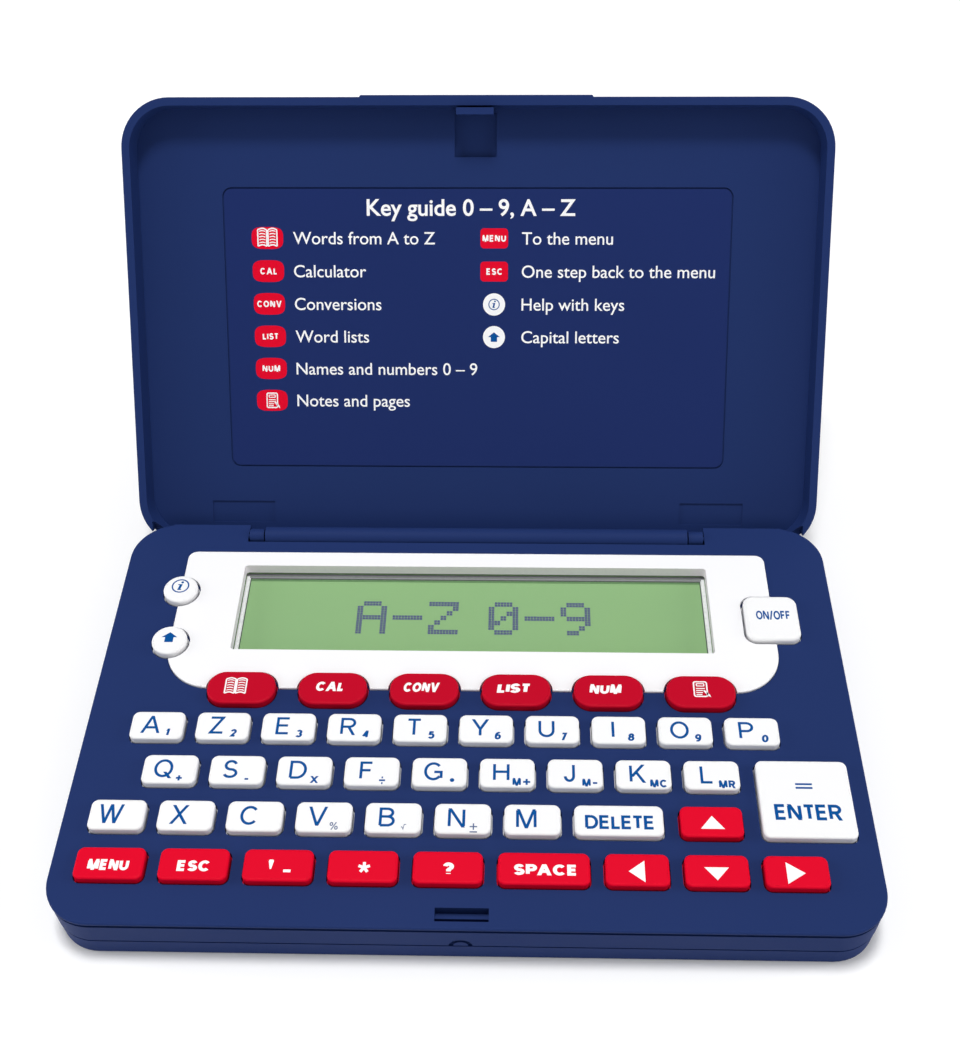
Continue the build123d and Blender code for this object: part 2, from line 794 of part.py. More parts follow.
plate_y = -(plate_from_hinge + plate_depth / 2)
hook_y = latch_y - hinge_y

with BuildPart() as lid:
    with BuildSketch(lid_plane.offset(rim_offset)):
        lid_outline(0)
    extrude(amount=lid_height, taper=lid_draft)
    fillet(lid.faces().sort_by(lid_axis)[-1].edges(), lid_edge_radius)
    with BuildSketch(lid_plane.offset(rim_offset)):
        lid_outline(lid_wall)
    extrude(amount=tray_depth, taper=tray_draft, mode=Mode.SUBTRACT)
    # Thumb lip on the free edge
    with BuildSketch(lid_plane.offset(rim_offset)):
        with Locations((0, -lid_free_edge + lid_wall)):
            Rectangle(thumb_lip_width, lid_wall + thumb_lip_rise, align=(Align.CENTER, Align.MAX))
            fillet(vertices().group_by(Axis.Y)[0], thumb_lip_rise)
    extrude(amount=thumb_lip_height)
    # Seat of the legend plate and the shallow mould marks over the hinge pins
    with BuildSketch(lid_plane.offset(roof_offset)):
        with Locations((0, plate_y)):
            RectangleRounded(plate_width + 2 * plate_gap, plate_depth + 2 * plate_gap,
                             plate_corner + plate_gap)
        with Locations((-mould_pad_x, -mould_pad_y), (mould_pad_x, -mould_pad_y)):
            Rectangle(mould_pad_width, mould_pad_depth)
    extrude(amount=mould_pad_recess, mode=Mode.SUBTRACT)
    # Latch hook standing from the roof, and the window that its barb is moulded through
    with BuildSketch(lid_plane.offset(roof_offset)):
        with Locations((latch_x, hook_y)):
            Rectangle(hook_window_width, hook_window_depth,
                      align=(Align.CENTER, Align.MIN))
    extrude(amount=hook_window_recess, mode=Mode.SUBTRACT)
    with BuildSketch(lid_plane.offset(rim_offset - hook_reach)):
        with Locations((latch_x, hook_y)):
            Rectangle(hook_width, hook_thickness)
    extrude(amount=hook_reach + tray_depth + hook_window_recess)
    with BuildSketch(lid_plane.offset(rim_offset - hook_reach)):
        with Locations((latch_x, hook_y + hook_thickness / 2)):
            Rectangle(hook_width, hook_barb, align=(Align.CENTER, Align.MIN))
    extrude(amount=hook_barb_height)
    # Web that thickens the rear wall between the lugs, and the barrel along its foot
    with BuildSketch(lid_section.offset(-tongue_half_width)):
        Rectangle(lid_rear, roof_offset, align=(Align.MIN, Align.MIN))
    extrude(amount=2 * tongue_half_width)
    with BuildSketch(lid_section.offset(-barrel_half_width)):
        Circle(barrel_radius)
    extrude(amount=2 * barrel_half_width)
    for side in (-1, 1):
        with BuildSketch(lid_section.offset(side * (tongue_half_width - lug_width))):
            Circle(lug_radius)
        extrude(amount=side * lug_width)
        with BuildSketch(lid_section.offset(side * (tongue_half_width - lug_width))):
            Rectangle(2 * barrel_radius, 3 * barrel_radius, align=(Align.MAX, Align.CENTER))
        extrude(amount=-side * lug_groove, mode=Mode.SUBTRACT)
        # Room for the base's ear
        with BuildSketch(lid_section.offset(side * tongue_half_width)):
            Circle(hinge_setback + hinge_gap)
        extrude(amount=side * (knuckle_end - tongue_half_width), mode=Mode.SUBTRACT)
        with BuildSketch(lid_section.offset(side * tongue_half_width)):
            Circle(pin_radius)
        extrude(amount=side * pin_length)

lid.part.label = "lid"
export_step(lid.part, "parts/lid.step")

with BuildPart() as legend_plate:
    with BuildSketch(lid_plane.offset(roof_offset + plate_seat - plate_thickness)):
        with Locations((0, plate_y)):
            RectangleRounded(plate_width, plate_depth, plate_corner)
    extrude(amount=plate_thickness)

legend_plate.part.label = "legend_plate"
export_step(legend_plate.part, "parts/legend_plate.step")


# ---------------------------------------------------------------- keys

for key in keys:
    key_body = build_key(key)
    key_body.label = key.name
    export_step(key_body, f"parts/{key.name}.step")
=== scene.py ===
"""Looks of a pocket electronic dictionary: a keyboard base with a display and a hinged lid.

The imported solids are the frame. This script gives every solid its finish, prints the legends
on the keys and on the plate in the lid, and fills the display with liquid crystal dots.
Lengths are written in millimetres and turned into metres when a mesh is made.
"""

import json
import logging
import math
from dataclasses import dataclass, field
from enum import Enum
from typing import Any, Iterable

import bpy
import numpy as np
from mathutils import Matrix, Vector


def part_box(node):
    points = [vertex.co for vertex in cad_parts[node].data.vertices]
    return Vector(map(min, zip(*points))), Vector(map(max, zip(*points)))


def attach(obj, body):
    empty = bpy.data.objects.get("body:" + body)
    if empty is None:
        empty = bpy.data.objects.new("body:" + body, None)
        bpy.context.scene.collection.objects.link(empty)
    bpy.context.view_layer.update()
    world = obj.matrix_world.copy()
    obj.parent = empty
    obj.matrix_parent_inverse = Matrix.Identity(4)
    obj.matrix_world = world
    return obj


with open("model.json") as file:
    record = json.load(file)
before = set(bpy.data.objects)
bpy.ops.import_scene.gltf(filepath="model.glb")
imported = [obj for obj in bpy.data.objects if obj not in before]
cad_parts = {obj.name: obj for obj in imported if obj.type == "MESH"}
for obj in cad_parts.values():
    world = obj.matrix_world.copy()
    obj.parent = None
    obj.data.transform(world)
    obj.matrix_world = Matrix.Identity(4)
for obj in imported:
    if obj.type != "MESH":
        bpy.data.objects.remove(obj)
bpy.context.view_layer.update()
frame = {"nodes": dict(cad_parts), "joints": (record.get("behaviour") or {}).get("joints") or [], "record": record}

log = logging.getLogger("dictionary")

MM = 0.001
# The colour sockets of a Mix node, which share their names with its number sockets
MIX_A, MIX_B, MIX_OUT = 6, 7, 2
# Scale at which a wave texture repeats once in a metre
WAVE_ONCE = math.pi / 10
# Dull plastic and ink mirror far less than the usual half
DULL_SPECULAR = 0.05
WHITE = (1.0, 1.0, 1.0, 1.0)


# ---------------------------------------------------------------- colour and nodes

def linear(code: str) -> tuple[float, float, float, float]:
    """Turns an sRGB hex colour into linear light.

    Args:
        code: Six hex digits after a hash sign.

    Returns:
        Red, green, blue and an alpha of one.
    """
    srgb = np.array([int(code[i:i + 2], 16) for i in (1, 3, 5)]) / 255
    light = np.where(srgb > 0.04045, ((srgb + 0.055) / 1.055) ** 2.4, srgb / 12.92)
    return (*light.tolist(), 1.0)


def add_node(tree: bpy.types.NodeTree, kind: str, inputs: dict[Any, Any] | None = None,
             **settings: Any) -> bpy.types.Node:
    """Adds one node with its settings, values and links.

    Args:
        tree: The node tree.
        kind: The node's type name.
        inputs: Value or output socket for each input, by name or index.
        **settings: Attributes of the node itself.

    Returns:
        The new node.
    """
    node = tree.nodes.new(kind)
    for key, value in settings.items():
        setattr(node, key, value)
    for key, value in (inputs or {}).items():
        if isinstance(value, bpy.types.NodeSocket):
            tree.links.new(value, node.inputs[key])
        else:
            node.inputs[key].default_value = value
    return node


def started(name: str) -> tuple[bpy.types.Material, bpy.types.NodeTree, bpy.types.NodeSocket]:
    """Starts an empty node material.

    Args:
        name: The material's name.

    Returns:
        The material, its node tree and the socket that gives Object coordinates.
    """
    made = bpy.data.materials.new(name)
    made.use_nodes = True
    made.node_tree.nodes.clear()
    place = add_node(made.node_tree, "ShaderNodeTexCoord").outputs["Object"]
    return made, made.node_tree, place


def per_metre(feature_mm: float) -> float:
    """Texture scale that makes one feature as wide as the given length in millimetres."""
    return 1.0 / (feature_mm * MM)


@dataclass(frozen=True)
class MouldedPlastic:
    """Injection-moulded plastic: a slow drift of colour, a fine tool texture and uneven gloss.

    The tool's eroded texture breaks the reflection up, and the drift is the flow of the melt.
    """

    name: str
    colour: str
    drift_colour: str
    roughness: float
    grain_mm: float = 0.3
    grain_depth_mm: float = 0.006
    drift_mm: float = 45.0
    gloss_spread: float = 0.06
    gloss_drift: tuple[float, float] = (0.3, 0.7)
    specular: float = DULL_SPECULAR
    metallic: float = 0.0

    def material(self) -> bpy.types.Material:
        """Builds the node material.

        Returns:
            The material, whose patterns read Object coordinates.
        """
        made, tree, place = started(self.name)
        drift = add_node(tree, "ShaderNodeTexNoise", {
            "Vector": place, "Scale": per_metre(self.drift_mm), "Detail": 3.0, "Roughness": 0.45})
        tint = add_node(tree, "ShaderNodeMix", {
            "Factor": drift.outputs["Fac"],
            MIX_A: linear(self.colour), MIX_B: linear(self.drift_colour)},
            data_type="RGBA")
        grain = add_node(tree, "ShaderNodeTexNoise", {
            "Vector": place, "Scale": per_metre(self.grain_mm), "Detail": 2.0, "Roughness": 0.6})
        bump = add_node(tree, "ShaderNodeBump", {
            "Height": grain.outputs["Fac"], "Distance": self.grain_depth_mm * MM, "Strength": 1.0})
        gloss = add_node(tree, "ShaderNodeMapRange", {
            "Value": drift.outputs["Fac"],
            "From Min": self.gloss_drift[0], "From Max": self.gloss_drift[1],
            "To Min": self.roughness - self.gloss_spread,
            "To Max": self.roughness + self.gloss_spread})
        shader = add_node(tree, "ShaderNodeBsdfPrincipled", {
            "Base Color": tint.outputs[MIX_OUT], "Roughness": gloss.outputs["Result"],
            "Normal": bump.outputs["Normal"], "Specular IOR Level": self.specular,
            "Metallic": self.metallic})
        add_node(tree, "ShaderNodeOutputMaterial", {"Surface": shader.outputs["BSDF"]})
        return made


@dataclass(frozen=True)
class PrintedInk:
    """Pad-printed ink: a dense, nearly even film whose pinholes let a little of the ground through."""

    name: str
    colour: str
    thin_colour: str
    roughness: float = 0.42
    speckle_mm: float = 0.14
    pinholes: tuple[float, float] = (0.45, 0.85)

    def material(self) -> bpy.types.Material:
        """Builds the node material.

        Returns:
            The material, whose patterns read Object coordinates.
        """
        made, tree, place = started(self.name)
        speckle = add_node(tree, "ShaderNodeTexNoise", {
            "Vector": place, "Scale": per_metre(self.speckle_mm), "Detail": 1.0})
        thin = add_node(tree, "ShaderNodeMapRange", {
            "Value": speckle.outputs["Fac"],
            "From Min": self.pinholes[0], "From Max": self.pinholes[1]})
        tint = add_node(tree, "ShaderNodeMix", {
            "Factor": thin.outputs["Result"],
            MIX_A: linear(self.colour), MIX_B: linear(self.thin_colour)},
            data_type="RGBA")
        shader = add_node(tree, "ShaderNodeBsdfPrincipled", {
            "Base Color": tint.outputs[MIX_OUT], "Roughness": self.roughness,
            "Specular IOR Level": DULL_SPECULAR})
        add_node(tree, "ShaderNodeOutputMaterial", {"Surface": shader.outputs["BSDF"]})
        return made


@dataclass(frozen=True)
class LiquidCrystalGlass:
    """Reflective twisted-nematic glass: a green polariser over a mirror, with a faint grid of dots."""

    name: str
    colour: str
    cool_colour: str
    dot_pitch: float
    roughness: float = 0.38
    drift_mm: float = 38.0
    grid_strength: float = 0.035

    def material(self) -> bpy.types.Material:
        """Builds the node material.

        Returns:
            The material, whose patterns read Object coordinates.
        """
        made, tree, place = started(self.name)
        drift = add_node(tree, "ShaderNodeTexNoise", {
            "Vector": place, "Scale": per_metre(self.drift_mm), "Detail": 2.0})
        tint = add_node(tree, "ShaderNodeMix", {
            "Factor": drift.outputs["Fac"],
            MIX_A: linear(self.colour), MIX_B: linear(self.cool_colour)},
            data_type="RGBA")
        shade = tint.outputs[MIX_OUT]
        for direction in ("X", "Y"):
            lines = add_node(tree, "ShaderNodeTexWave", {
                "Vector": place, "Scale": per_metre(self.dot_pitch) * WAVE_ONCE},
                bands_direction=direction)
            faint = add_node(tree, "ShaderNodeMapRange", {
                "Value": lines.outputs["Fac"], "To Min": 1.0 - self.grid_strength, "To Max": 1.0})
            shade = add_node(tree, "ShaderNodeMix", {
                "Factor": 1.0, MIX_A: shade, MIX_B: faint.outputs["Result"]},
                data_type="RGBA", blend_type="MULTIPLY").outputs[MIX_OUT]
        shader = add_node(tree, "ShaderNodeBsdfPrincipled", {
            "Base Color": shade, "Roughness": self.roughness, "Specular IOR Level": DULL_SPECULAR})
        add_node(tree, "ShaderNodeOutputMaterial", {"Surface": shader.outputs["BSDF"]})
        return made


@dataclass(frozen=True)
class ClearWindow:
    """Clear moulded acrylic: almost invisible but for its reflection and a trace of haze."""

    name: str
    colour: str = "#F4F8F4"
    alpha: float = 0.03
    roughness: float = 0.05
    haze_mm: float = 12.0
    haze_range: tuple[float, float] = (0.6, 1.6)
    ior: float = 1.49

    def material(self) -> bpy.types.Material:
        """Builds the node material.

        Returns:
            The material, whose patterns read Object coordinates.
        """
        made, tree, place = started(self.name)
        haze = add_node(tree, "ShaderNodeTexNoise", {
            "Vector": place, "Scale": per_metre(self.haze_mm)})
        soft = add_node(tree, "ShaderNodeMapRange", {
            "Value": haze.outputs["Fac"], "To Min": self.roughness * self.haze_range[0],
            "To Max": self.roughness * self.haze_range[1]})
        shader = add_node(tree, "ShaderNodeBsdfPrincipled", {
            "Base Color": linear(self.colour), "Roughness": soft.outputs["Result"],
            "IOR": self.ior, "Alpha": self.alpha})
        add_node(tree, "ShaderNodeOutputMaterial", {"Surface": shader.outputs["BSDF"]})
        return made


class Finish(Enum):
    """Every finish of the dictionary.

    The first ones, down to SCREW_STEEL, are named for the record's material slots, which is how a
    solid finds its own. The rest are the prints.
    """

    # The case comes from a spark-eroded tool: dull, so that a wall shows as one even tone
    NAVY_CASE = MouldedPlastic("navy_abs_eroded", "#213366", "#1F3161", 0.55)
    # A finer, smoother film, a shade bluer and darker than the lid that it lies in
    LEGEND_FILM = MouldedPlastic("navy_film_screen_printed", "#1E2E64", "#1C2C60", 0.5,
                                 grain_mm=0.2, grain_depth_mm=0.003)
    # Satin white and red ABS from polished tools: bright tops with a soft edge to the shine
    WHITE_FASCIA = MouldedPlastic("white_abs_satin", "#FAFAFB", "#F6F6F8", 0.4, grain_mm=0.5,
                                  grain_depth_mm=0.002)
    WHITE_KEYS = MouldedPlastic("white_abs_keycap", "#F9F9F9", "#F5F5F6", 0.4, grain_depth_mm=0.003)
    RED_KEYS = MouldedPlastic("red_abs_keycap", "#E4042A", "#DE0429", 0.45, grain_depth_mm=0.003)
    OVAL_KEYS = MouldedPlastic("crimson_abs_keycap", "#C20727", "#BC0626", 0.45, grain_depth_mm=0.003)
    # What is clear or green about the display
    CLEAR_LENS = ClearWindow("clear_acrylic_moulded")
    DISPLAY = LiquidCrystalGlass("liquid_crystal_green", "#8BB775", "#87B379", 0.57)
    # Inside the case and under it: matt rubber, masked board, bright cells and black screws
    SILICONE = MouldedPlastic("grey_silicone_moulded", "#B9BDC2", "#B2B6BC", 0.7)
    CIRCUIT_BOARD = MouldedPlastic("green_glass_epoxy_masked", "#2E6B3A", "#2A6236", 0.45, drift_mm=6.0)
    CELL_STEEL = MouldedPlastic("nickel_plated_steel_drawn", "#C9CACC", "#BFC0C3", 0.28, metallic=1.0,
                                specular=0.5, grain_mm=0.15, grain_depth_mm=0.001)
    SCREW_STEEL = MouldedPlastic("black_zinc_steel_headed", "#3A3C40", "#323438", 0.4, metallic=1.0,
                                 specular=0.5, grain_mm=0.2, grain_depth_mm=0.002)
    # Inks of the keys and the plate
    BLUE_INK = PrintedInk("blue_pad_ink", "#004C94", "#125C9E")
    GREY_INK = PrintedInk("grey_blue_pad_ink", "#5C6C90", "#7784A4")
    WHITE_INK = PrintedInk("white_screen_ink", "#FDFDFE", "#F2F3F6")
    RED_INK = PrintedInk("red_screen_ink", "#E4062B", "#D80A2C")
    # Even films on the display: dark dots, grey, pale and black bands of the seal and a lining tinted
    # against the green light from the glass. Along the rear edge the grey band is darkened into painted
    # shade, the black line is widened into painted shadow, and a green strip is the painted shadow that
    # the rear line throws
    DISPLAY_DOTS = PrintedInk("liquid_crystal_dark", "#3F4C74", "#4A577E", 0.3, 0.3)
    SEAL_GREY = PrintedInk("grey_glass_seal", "#8A898F", "#807F85", 0.35, 0.6)
    SEAL_PALE = PrintedInk("pale_glass_edge", "#F2F3F3", "#DCDEDF", 0.3, 0.8)
    SEAL_LINE = PrintedInk("black_glass_seal_line", "#3A4A3C", "#33422F", 0.4, 0.6)
    SEAL_SHADE = PrintedInk("green_glass_seal_shade", "#56824B", "#517D47", 0.4, 0.6)
    WINDOW_WALL = PrintedInk("white_window_lining", "#FBF2FC", "#F6EDF8", 0.4, 0.8)


class Wardrobe:
    """Builds each finish once and hands it out."""

    def __init__(self) -> None:
        """Starts with no finish built."""
        self.built: dict[Finish, bpy.types.Material] = {}

    def get(self, finish: Finish) -> bpy.types.Material:
        """Gives the material of a finish, building it the first time.

        Args:
            finish: The finish.

        Returns:
            Its material.
        """
        if finish not in self.built:
            self.built[finish] = finish.value.material()
        return self.built[finish]


# ---------------------------------------------------------------- shells

@dataclass
class Shell:
    """A closed surface: points as an (n, 3) array in millimetres, and faces as index lists."""

    points: np.ndarray
    faces: list[list[int]]

    def moved(self, x: float = 0.0, y: float = 0.0, z: float = 0.0) -> "Shell":
        """Gives the shell carried along a vector."""
        return Shell(self.points + np.array([x, y, z]), self.faces)

    def placed(self, origin: np.ndarray, axes: np.ndarray) -> "Shell":
        """Gives the shell in another frame.

        Args:
            origin: The frame's origin in millimetres.
            axes: The frame's three unit vectors, one in each row.

        Returns:
            The shell whose points are origin + x·axes[0] + y·axes[1] + z·axes[2].
        """
        return Shell(origin + self.points @ axes, self.faces)


def joined(shells: Iterable[Shell]) -> Shell:
    """Puts several shells into one, each keeping its own points.

    Args:
        shells: The shells.

    Returns:
        One shell with all their faces.
    """
    parts = list(shells)
    starts = np.cumsum([0] + [len(part.points) for part in parts[:-1]])
    faces = [[int(start) + index for index in face]
             for start, part in zip(starts, parts) for face in part.faces]
    return Shell(np.concatenate([part.points for part in parts]), faces)


def solid_points(node: str) -> np.ndarray:
    """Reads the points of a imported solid's mesh.

    Args:
        node: The solid's name.

    Returns:
        The points, (n, 3), in millimetres.
    """
    mesh = frame["nodes"][node].data
    points = np.empty(len(mesh.vertices) * 3)
    mesh.vertices.foreach_get("co", points)
    return points.reshape(-1, 3) / MM


def film(outline: np.ndarray, thickness: float, sunk: float) -> Shell:
    """Makes a thin flat film of ink from a plan outline.

    The wall is the surface P(t, s) = (outline(t), s) for s from -sunk to the film's thickness, and
    a face closes it above and below.

    Args:
        outline: Points of the outline, (n, 2), counter-clockwise.
        thickness: Height of the film above its ground.
        sunk: Depth of the film below its ground.

    Returns:
        The closed film, lying on z = 0.
    """
    count = len(outline)
    low = np.column_stack([outline, np.full(count, -sunk)])
    high = np.column_stack([outline, np.full(count, thickness)])
    here = np.arange(count)
    after = np.roll(here, -1)
    walls = np.column_stack([here, after, after + count, here + count]).tolist()
    return Shell(np.concatenate([low, high]), walls + [here[::-1].tolist(), (here + count).tolist()])


def ring(outer: np.ndarray, inner: np.ndarray, thickness: float, sunk: float) -> Shell:
    """Makes a thin closed ring between two outlines with the same number of points.

    It is the grid P(s, t) with t along the outline and s round the section: outer foot, outer
    top, inner top, inner foot.

    Args:
        outer: Points of the outer outline, (n, 2), counter-clockwise.
        inner: Points of the inner outline, (n, 2), counter-clockwise.
        thickness: Height of the ring above its ground.
        sunk: Depth of the ring below its ground.

    Returns:
        The closed ring.
    """
    count = len(outer)
    levels = (-sunk, thickness, thickness, -sunk)
    loops = [np.column_stack([edge, np.full(count, level)])
             for edge, level in zip((outer, outer, inner, inner), levels)]
    row = np.arange(4)[:, None] * count
    next_row = np.roll(row, -1, axis=0)
    here = np.arange(count)[None, :]
    after = np.roll(here, -1, axis=1)
    quads = np.stack([row + here, row + after, next_row + after, next_row + here], axis=-1)
    return Shell(np.concatenate(loops), quads.reshape(-1, 4).tolist())


def superellipse(width: float, depth: float, power: float, count: int = 56) -> np.ndarray:
    """Outline |x / a|^p + |y / b|^p = 1, between an ellipse and a rectangle.

    Args:
        width: Size along x.
        depth: Size along y.
        power: The exponent p, 2 for an ellipse and more for a squarer form.
        count: Number of points.

    Returns:
        The outline, (count, 2), counter-clockwise.
    """
    angle = np.linspace(0, 2 * np.pi, count, endpoint=False)
    wave = np.column_stack([np.cos(angle), np.sin(angle)])
    return np.sign(wave) * np.abs(wave) ** (2 / power) * np.array([width, depth]) / 2


def rounded_box(width: float, depth: float, radius: float, steps: int = 6) -> np.ndarray:
    """Outline of a rectangle with quarter-circle corners.

    Args:
        width: Size along x.
        depth: Size along y.
        radius: Radius of the corners.
        steps: Points on each corner.

    Returns:
        The outline, counter-clockwise.
    """
    angle = np.linspace(0, np.pi / 2, steps)[None, :] + np.arange(4)[:, None] * np.pi / 2
    centre_x = np.array([1, -1, -1, 1])[:, None] * (width / 2 - radius)
    centre_y = np.array([1, 1, -1, -1])[:, None] * (depth / 2 - radius)
    return np.column_stack([(centre_x + radius * np.cos(angle)).ravel(),
                            (centre_y + radius * np.sin(angle)).ravel()])


def ribbon(path: np.ndarray, width: float) -> np.ndarray:
    """Outline of a stroke of one width along an open path, with mitred bends.

    At a bend between unit normals a and b the edge is shifted by (a + b) / (1 + a·b) half widths.

    Args:
        path: Points of the path, (n, 2).
        width: Width of the stroke.

    Returns:
        The outline, counter-clockwise, (2n, 2).
    """
    along = np.diff(path, axis=0)
    along /= np.linalg.norm(along, axis=1, keepdims=True)
    normal = np.column_stack([-along[:, 1], along[:, 0]])
    before = np.concatenate([normal[:1], normal])
    after = np.concatenate([normal, normal[-1:]])
    bend = (before + after) / (1 + np.sum(before * after, axis=1, keepdims=True)) * width / 2
    return np.concatenate([path - bend, (path + bend)[::-1]])


def slant(start: np.ndarray, end: np.ndarray, width: float) -> np.ndarray:
    """Outline of a sloping stroke whose two ends are cut level.

    Args:
        start: Middle of the lower end.
        end: Middle of the upper end.
        width: Width across the stroke.

    Returns:
        The outline, counter-clockwise, (4, 2).
    """
    run, rise = end - start
    half = np.array([width / 2 * math.hypot(run, rise) / rise, 0.0])
    return np.array([start - half, start + half, end + half, end - half])


def arc(centre: np.ndarray, radii: np.ndarray, angles: np.ndarray, step: float = 12.0) -> np.ndarray:
    """Path (cx + a·cos t, cy + b·sin t) for t between two angles.

    Args:
        centre: The middle, (2,).
        radii: The half widths a and b, (2,).
        angles: The first and last angle in degrees, (2,).
        step: The most degrees between two points.

    Returns:
        The path, (n, 2).
    """
    count = 2 + int(abs(angles[1] - angles[0]) / step)
    sweep = np.radians(np.linspace(angles[0], angles[1], count))
    return centre + radii * np.column_stack([np.cos(sweep), np.sin(sweep)])


def turned(outline: np.ndarray, angle: float) -> np.ndarray:
    """Turns an outline anticlockwise about the origin, by an angle in radians."""
    across, along = np.cos(angle), np.sin(angle)
    return outline @ np.array([[across, along], [-along, across]])


def bar(width: float, depth: float) -> np.ndarray:
    """Outline of a plain bar about the origin."""
    return np.array([[-1, -1], [1, -1], [1, 1], [-1, 1]]) * np.array([width, depth]) / 2


# ---------------------------------------------------------------- lettering

class Align(Enum):
    """Which point of a line of lettering is at its place."""

    CENTRE = "centre"
    LEFT = "left"


@dataclass(frozen=True)
class Type:
    """A style of lettering.

    The weight is the stroke as a share of the cap height for drawn capitals, and the growth of
    the strokes in units of the type size for mixed-case lines. The lean is in degrees.
    """

    cap: float
    weight: float = 0.0
    stretch: float = 1.0
    spacing: float = 1.0
    lean: float = 0.0


class StrokeAlphabet:
    """Sans-serif capitals, digits and signs, drawn as centre lines in a box one cap high.

    Each glyph has a width and a list of strokes. P is a path through points, S a sloping stroke
    with level ends from its lower end to its upper end, and O an arc: centre, radii and the two
    angles in degrees. Coordinates run from 0 to 1 across the glyph's box and up it.
    """

    glyphs: dict[str, tuple[float, str]] = {
        "A": (0.92, "S 0 0 .5 1|S 1 0 .5 1|P .22 .3 .78 .3"),
        "B": (0.72, "P 0 0 0 1 .52 1|O .52 .765 .4 .235 90 -90|P 0 .53 .55 .53|"
                    "O .55 .265 .45 .265 90 -90|P 0 0 .55 0"),
        "C": (0.82, "O .52 .5 .52 .5 42 318"),
        "D": (0.8, "P 0 0 0 1 .42 1|O .42 .5 .58 .5 90 -90|P 0 0 .42 0"),
        "E": (0.66, "P 1 1 0 1 0 0 1 0|P 0 .52 .92 .52"),
        "F": (0.62, "P 1 1 0 1 0 0|P 0 .52 .88 .52"),
        "G": (0.86, "O .5 .5 .5 .5 42 322|P .56 .46 1 .46 1 .08"),
        "H": (0.76, "P 0 0 0 1|P 1 0 1 1|P 0 .52 1 .52"),
        "I": (0.14, "P .5 0 .5 1"),
        "J": (0.52, "P 1 1 1 .3|O .5 .3 .5 .3 0 -175"),
        "K": (0.78, "P 0 0 0 1|S .04 .32 .9 1|S .94 0 .36 .6"),
        "L": (0.6, "P 0 1 0 0 1 0"),
        "M": (0.92, "P 0 0 0 1|P 1 0 1 1|S .5 0 .04 1|S .5 0 .96 1"),
        "N": (0.78, "P 0 0 0 1|P 1 0 1 1|S .98 0 .02 1"),
        "O": (0.88, "O .5 .5 .5 .5 0 360"),
        "P": (0.7, "P 0 0 0 1 .55 1|O .55 .735 .45 .265 90 -90|P 0 .47 .55 .47"),
        "Q": (0.88, "O .5 .5 .5 .5 0 360|S .98 -.05 .62 .3"),
        "R": (0.74, "P 0 0 0 1 .55 1|O .55 .74 .42 .26 90 -90|P 0 .48 .55 .48|S .96 0 .52 .48"),
        "S": (0.68, "O .5 .74 .44 .26 20 270|O .5 .24 .5 .24 90 -160"),
        "T": (0.72, "P 0 1 1 1|P .5 1 .5 0"),
        "U": (0.76, "P 0 1 0 .36|O .5 .36 .5 .36 180 360|P 1 .36 1 1"),
        "V": (0.86, "S .5 0 0 1|S .5 0 1 1"),
        "W": (1.12, "S .27 0 0 1|S .27 0 .5 1|S .73 0 .5 1|S .73 0 1 1"),
        "X": (0.8, "S 0 0 .96 1|S 1 0 .04 1"),
        "Y": (0.82, "S .5 .42 0 1|S .5 .42 1 1|P .5 .46 .5 0"),
        "Z": (0.76, "P 0 1 1 1|S .02 0 .98 1|P 0 0 1 0"),
        "0": (0.62, "O .5 .5 .5 .5 0 360"),
        "1": (0.36, "P .75 0 .75 1|S .05 .68 .75 .98"),
        "2": (0.6, "O .5 .71 .46 .29 168 -38|S .04 0 .86 .53|P 0 0 1 0"),
        "3": (0.6, "O .46 .755 .44 .245 155 -90|O .46 .26 .52 .26 90 -155"),
        "4": (0.66, "P 0 .28 1 .28|P .74 0 .74 1|S .04 .28 .7 1"),
        "5": (0.6, "P .92 1 .14 1 .06 .5|O .46 .33 .52 .33 140 -150"),
        "6": (0.6, "O .5 .31 .48 .31 0 360|O .56 .5 .54 .5 60 195"),
        "7": (0.58, "P 0 1 1 1|S .28 0 .96 1"),
        "8": (0.6, "O .5 .765 .4 .235 0 360|O .5 .265 .5 .265 0 360"),
        "9": (0.6, "O .5 .69 .48 .31 0 360|O .44 .5 .54 .5 15 -120"),
        "+": (1.0, "P 0 .5 1 .5|P .5 0 .5 1"),
        "-": (0.7, "P 0 .45 1 .45"),
        "×": (1.0, "S 0 0 1 1|S 1 0 0 1"),
        "÷": (1.0, "P 0 .5 1 .5|P .38 1.05 .62 1.05|P .38 -.05 .62 -.05"),
        "±": (0.8, "P 0 .62 1 .62|P .5 .24 .5 1|P 0 0 1 0"),
        "√": (0.95, "P 0 .42 .16 .5 .4 .02 .62 1 1 1"),
        "%": (1.0, "S .18 0 .82 1|O .17 .78 .17 .22 0 360|O .83 .22 .17 .22 0 360"),
        "=": (1.5, "P 0 .85 1 .85|P 0 .15 1 .15"),
        "/": (0.5, "S 0 0 1 1"),
        "?": (0.62, "O .48 .74 .46 .26 170 -50|P .76 .53 .5 .4 .5 .24|P .5 -.02 .5 .06"),
    }
    slope_inset = 0.55

    def strokes(self, sign: str, weight: float) -> list[np.ndarray]:
        """Draws one glyph in its box, so that no stroke leaves the box at any weight.

        Args:
            sign: The glyph.
            weight: Width of the strokes as a share of the cap height.

        Returns:
            The outline of each stroke.
        """
        width, plan = self.glyphs[sign]
        scale = np.array([width - weight, 1 - weight])
        drawn = []
        for stroke in plan.split("|"):
            kind, *rest = stroke.split()
            pairs = np.array(rest, float).reshape(-1, 2)
            if kind == "S":
                inset = weight * self.slope_inset
                ends = pairs * np.array([width - 2 * inset, 1.0]) + np.array([inset, 0.0])
                drawn.append(slant(ends[0], ends[1], weight))
            elif kind == "O":
                curve = arc(pairs[0] * scale + weight / 2, pairs[1] * scale, pairs[2])
                drawn.append(ribbon(curve, weight))
            else:
                drawn.append(ribbon(pairs * scale + weight / 2, weight))
        return drawn


